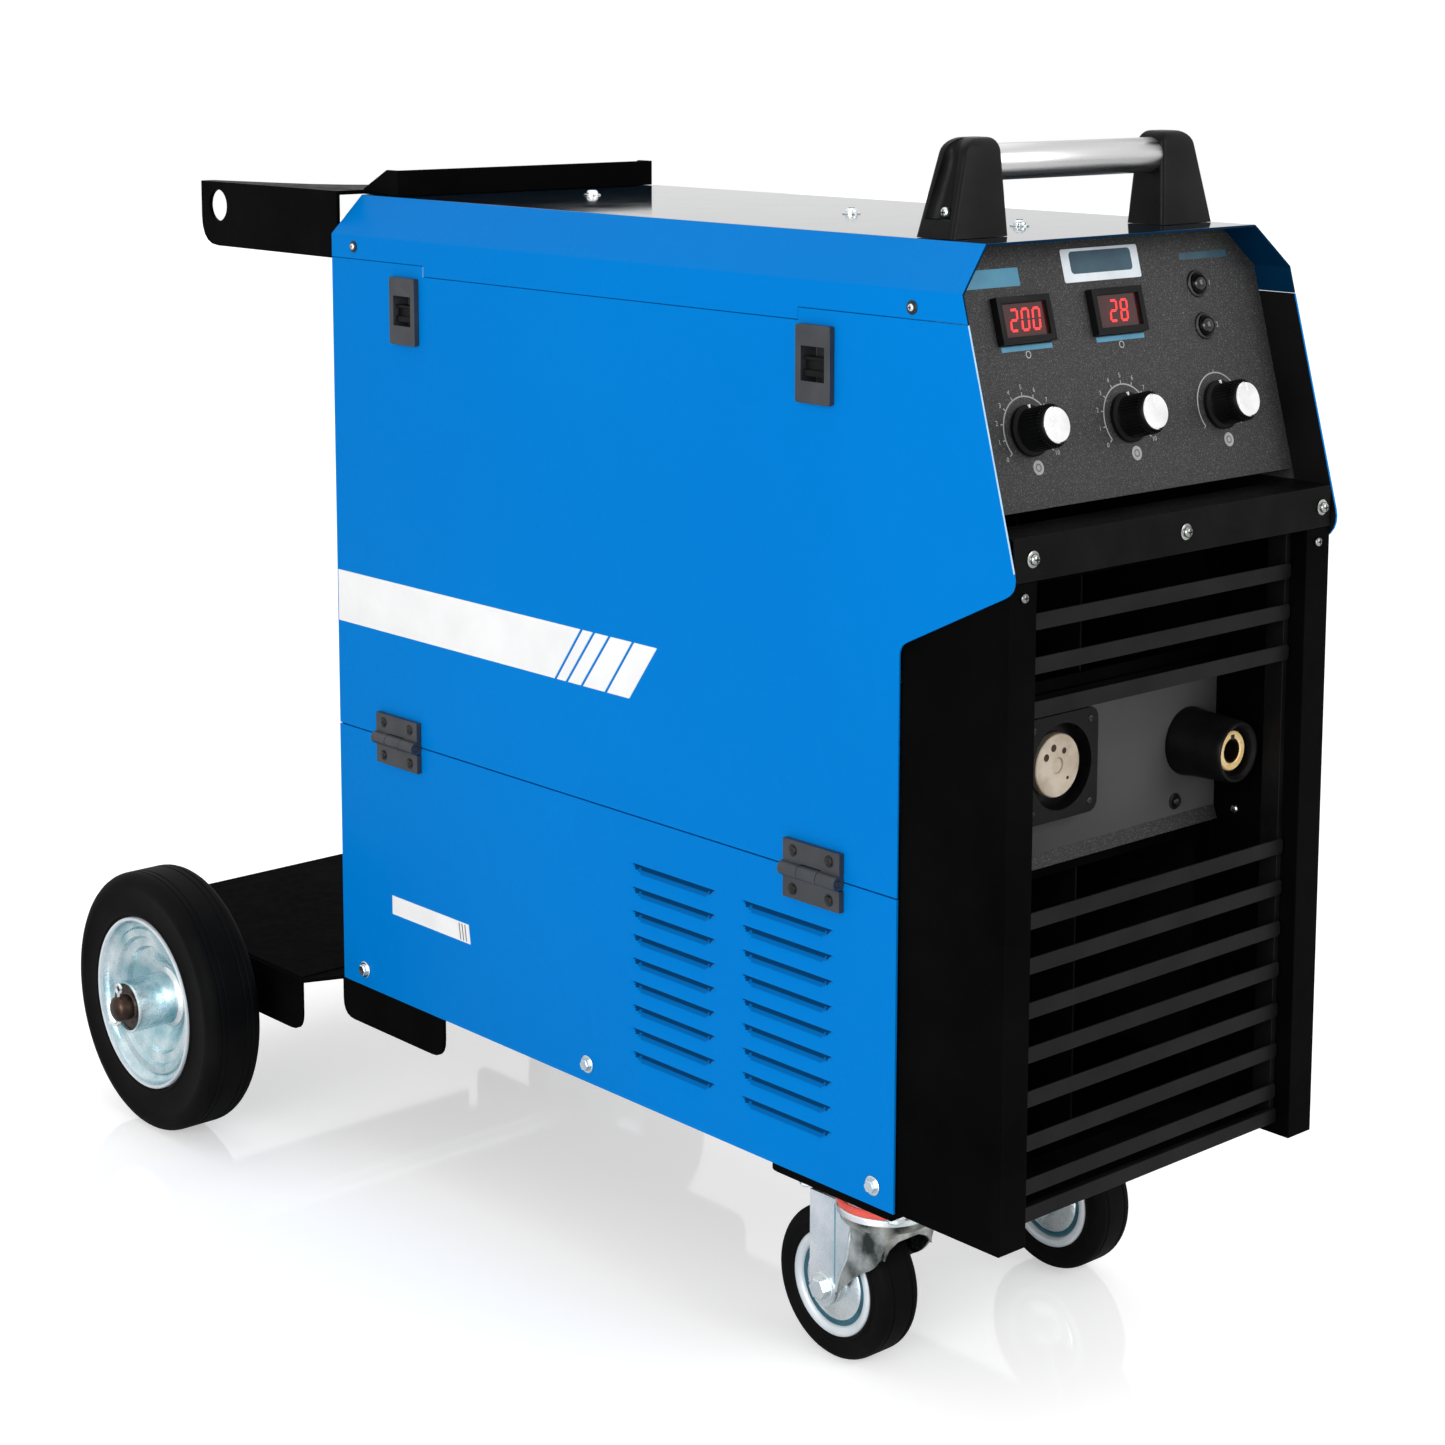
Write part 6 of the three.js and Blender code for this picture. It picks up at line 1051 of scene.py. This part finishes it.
tension = for_node("tension_knob").use(ZINC)
m = to_top(-42.6, 155, 4.5)
tension.lathe([(0, 401), (2.6, 401), (3, 401.6), (3, 422), (0, 422)], m, 20)
tension.use(SEAL).lathe([(0, 421.4), (9.6, 421.4), (10, 422), (9.6, 428), (9.0, 438), (8.2, 444),
                         (7.2, 445.2), (0, 445.3)], m, 40)
tension.use(PLASTIC)
for k in range(12):
    tension.block(turned(m, 30 * k), 8.8, 9.9, -0.7, 0.7, 423, 439)
tension.done()

guide = extra("wire_guides", "cabinet", "brass").use(BRASS)
guide.lathe([(0, 0), (3.4, 0), (3.4, 22), (2.2, 28), (0, 28)], to_rear(WIRE_X, 215, WIRE_Z), 24)
guide.lathe([(0, 0), (3.4, 0), (3.4, 14), (2.2, 20), (0, 20)], to_front(WIRE_X, 165, WIRE_Z), 24)
guide.use(STEEL_BLACK).block(to_top(WIRE_X, 0, 0), -4, 8, 226, 238, 390.5, 395.5)
off_spool = [(-62, y, z) for y, z in arc(SPOOL_Y, SPOOL_Z, 127.6, 250, 234, 2)]
guide.use(COPPER).tube([*off_spool, (-56, 352, 387), (-50, 318, 393), (-44, 282, 397), (-38.8, 244, WIRE_Z),
                        (WIRE_X, 216, WIRE_Z)], 0.7, 6)
guide.done()

core = for_node("transformer").use(STEEL_BLACK)
at = to_top(68, 300, 135.8)
for k in range(28):
    core.block(at, -35 + k * 2.5, -32.8 + k * 2.5, -82.4, 82.4, 0, 140)
core.block(at, -34.8, 34.8, -82, 82, 0.4, 139.6).block(at, -59, 59, -82.4, 82.4, 0, 6).use(WINDING)
for k in range(20):
    core.prism(rounded(-58.8, 58.8, -55.8, 55.8, 14), at, 28 + k * 4.2, 32 + k * 4.2)
core.done(bevel=0.3)

SWITCH_X, SWITCH_Z = 92, 560
switch = for_node("mains_switch_body").use(PLASTIC).copy("mains_switch_body")
switch.use(ALU).prism(rounded(-29, 29, -29, 29, 4), to_rear(SWITCH_X, BACK + 3.9, SWITCH_Z), 0.03, 0.35)
switch.use(STEEL_BLACK)
for a in (90, 180):
    switch.block(turned(to_rear(SWITCH_X, BACK + 4.25, SWITCH_Z), a), 23.5, 27.5, -0.6, 0.6, 0, 0.1)
switch.done(bevel=0.4)
marks = extra("switch_marks", "cabinet", "zinc").use(STEEL_BLACK)
marks.text("0", 5, to_rear(SWITCH_X + 18, BACK + 4.3, SWITCH_Z + 23))
marks.text("1", 5, to_rear(SWITCH_X - 22, BACK + 4.3, SWITCH_Z + 23)).done()

# ---------- stage and camera ----------

scene = bpy.context.scene
scene.view_settings.view_transform = "Standard"


def staged(obj):
    scene.collection.objects.link(obj)
    return obj


FLOOR_REACH, FLOOR_GLOW = 9, 0.44  # metres, and how much the camera alone sees on top of the light
WORLD_LIGHT = 0.55  # what the surroundings throw on the object, against the white that is seen

floor_finish, tree, shader = new_material("studio_floor", 0.9, 0.06, spec=0.3)
glow = add(tree, "Math", "MULTIPLY")
glow.inputs[1].default_value = FLOOR_GLOW
link(add(tree, "LightPath"), "Is Camera Ray", glow, 0)
link(glow, "Value", shader, "Emission Strength")
shader.inputs["Emission Color"].default_value = (1, 1, 1, 1)
floor_mesh = bpy.data.meshes.new("floor")
reach = [(x * FLOOR_REACH, y * FLOOR_REACH, 0) for x, y in ((-1, -1), (1, -1), (1, 1), (-1, 1))]
floor_mesh.from_pydata(reach, [], [(0, 1, 2, 3)])
floor_mesh.materials.append(floor_finish)
staged(bpy.data.objects.new("floor", floor_mesh))

# The world is white to the camera, in reflections and through glass, and dimmer as a light.
world = bpy.data.worlds.new("studio")
scene.world = world
world.use_nodes = True
tree = world.node_tree
light, white = tree.nodes["Background"], add(tree, "Background")
for node, strength in ((light, WORLD_LIGHT), (white, 1.0)):
    node.inputs["Color"].default_value = (1, 1, 1, 1)
    node.inputs["Strength"].default_value = strength
path = add(tree, "LightPath")
glossy, any_ray, mix = add(tree, "Math", "MAXIMUM"), add(tree, "Math", "MAXIMUM"), add(tree, "MixShader")
link(path, "Is Camera Ray", glossy, 0)
link(path, "Is Glossy Ray", glossy, 1)
link(glossy, "Value", any_ray, 0)
link(path, "Is Transmission Ray", any_ray, 1)
link(any_ray, "Value", mix, "Fac")
link(light, "Background", mix, 1)
link(white, "Background", mix, 2)
link(mix, "Shader", tree.nodes["World Output"], "Surface")

for name, place, aim, size, power in (
    ("key_box", (-3.0, -1.5, 1.2), (0, 0, 0.45), (2.4, 1.8), 62),
    ("front_box", (0.9, -3.0, 1.7), (0, 0, 0.4), (1.8, 1.8), 34),
    ("top_box", (0.2, 0.4, 3.0), (0, 0, 0.4), (2.6, 2.6), 16),
):
    lamp = bpy.data.lights.new(name, "AREA")
    lamp.shape = "RECTANGLE"
    lamp.size, lamp.size_y = size
    lamp.energy = power
    place = Vector(place)
    turn = (Vector(aim) - place).to_track_quat("-Z", "Y").to_matrix().to_4x4()
    staged(bpy.data.objects.new(name, lamp)).matrix_world = Matrix.Translation(place) @ turn

# Fitted to the photograph.
CAMERA_PLACE = (-1.3214, -1.5387, 0.8439)
HEADING, PITCH, ROLL = -41.7499, -8.3136, 0.0973  # degrees
lens = bpy.data.cameras.new("camera")
lens.sensor_width = 36
lens.lens = 71.437
lens.shift_y = -0.1938
camera = staged(bpy.data.objects.new("camera", lens))
camera.matrix_world = turned(turned(turned(to_top(*CAMERA_PLACE), HEADING), 90 + PITCH, "X"), ROLL)
scene.camera = camera
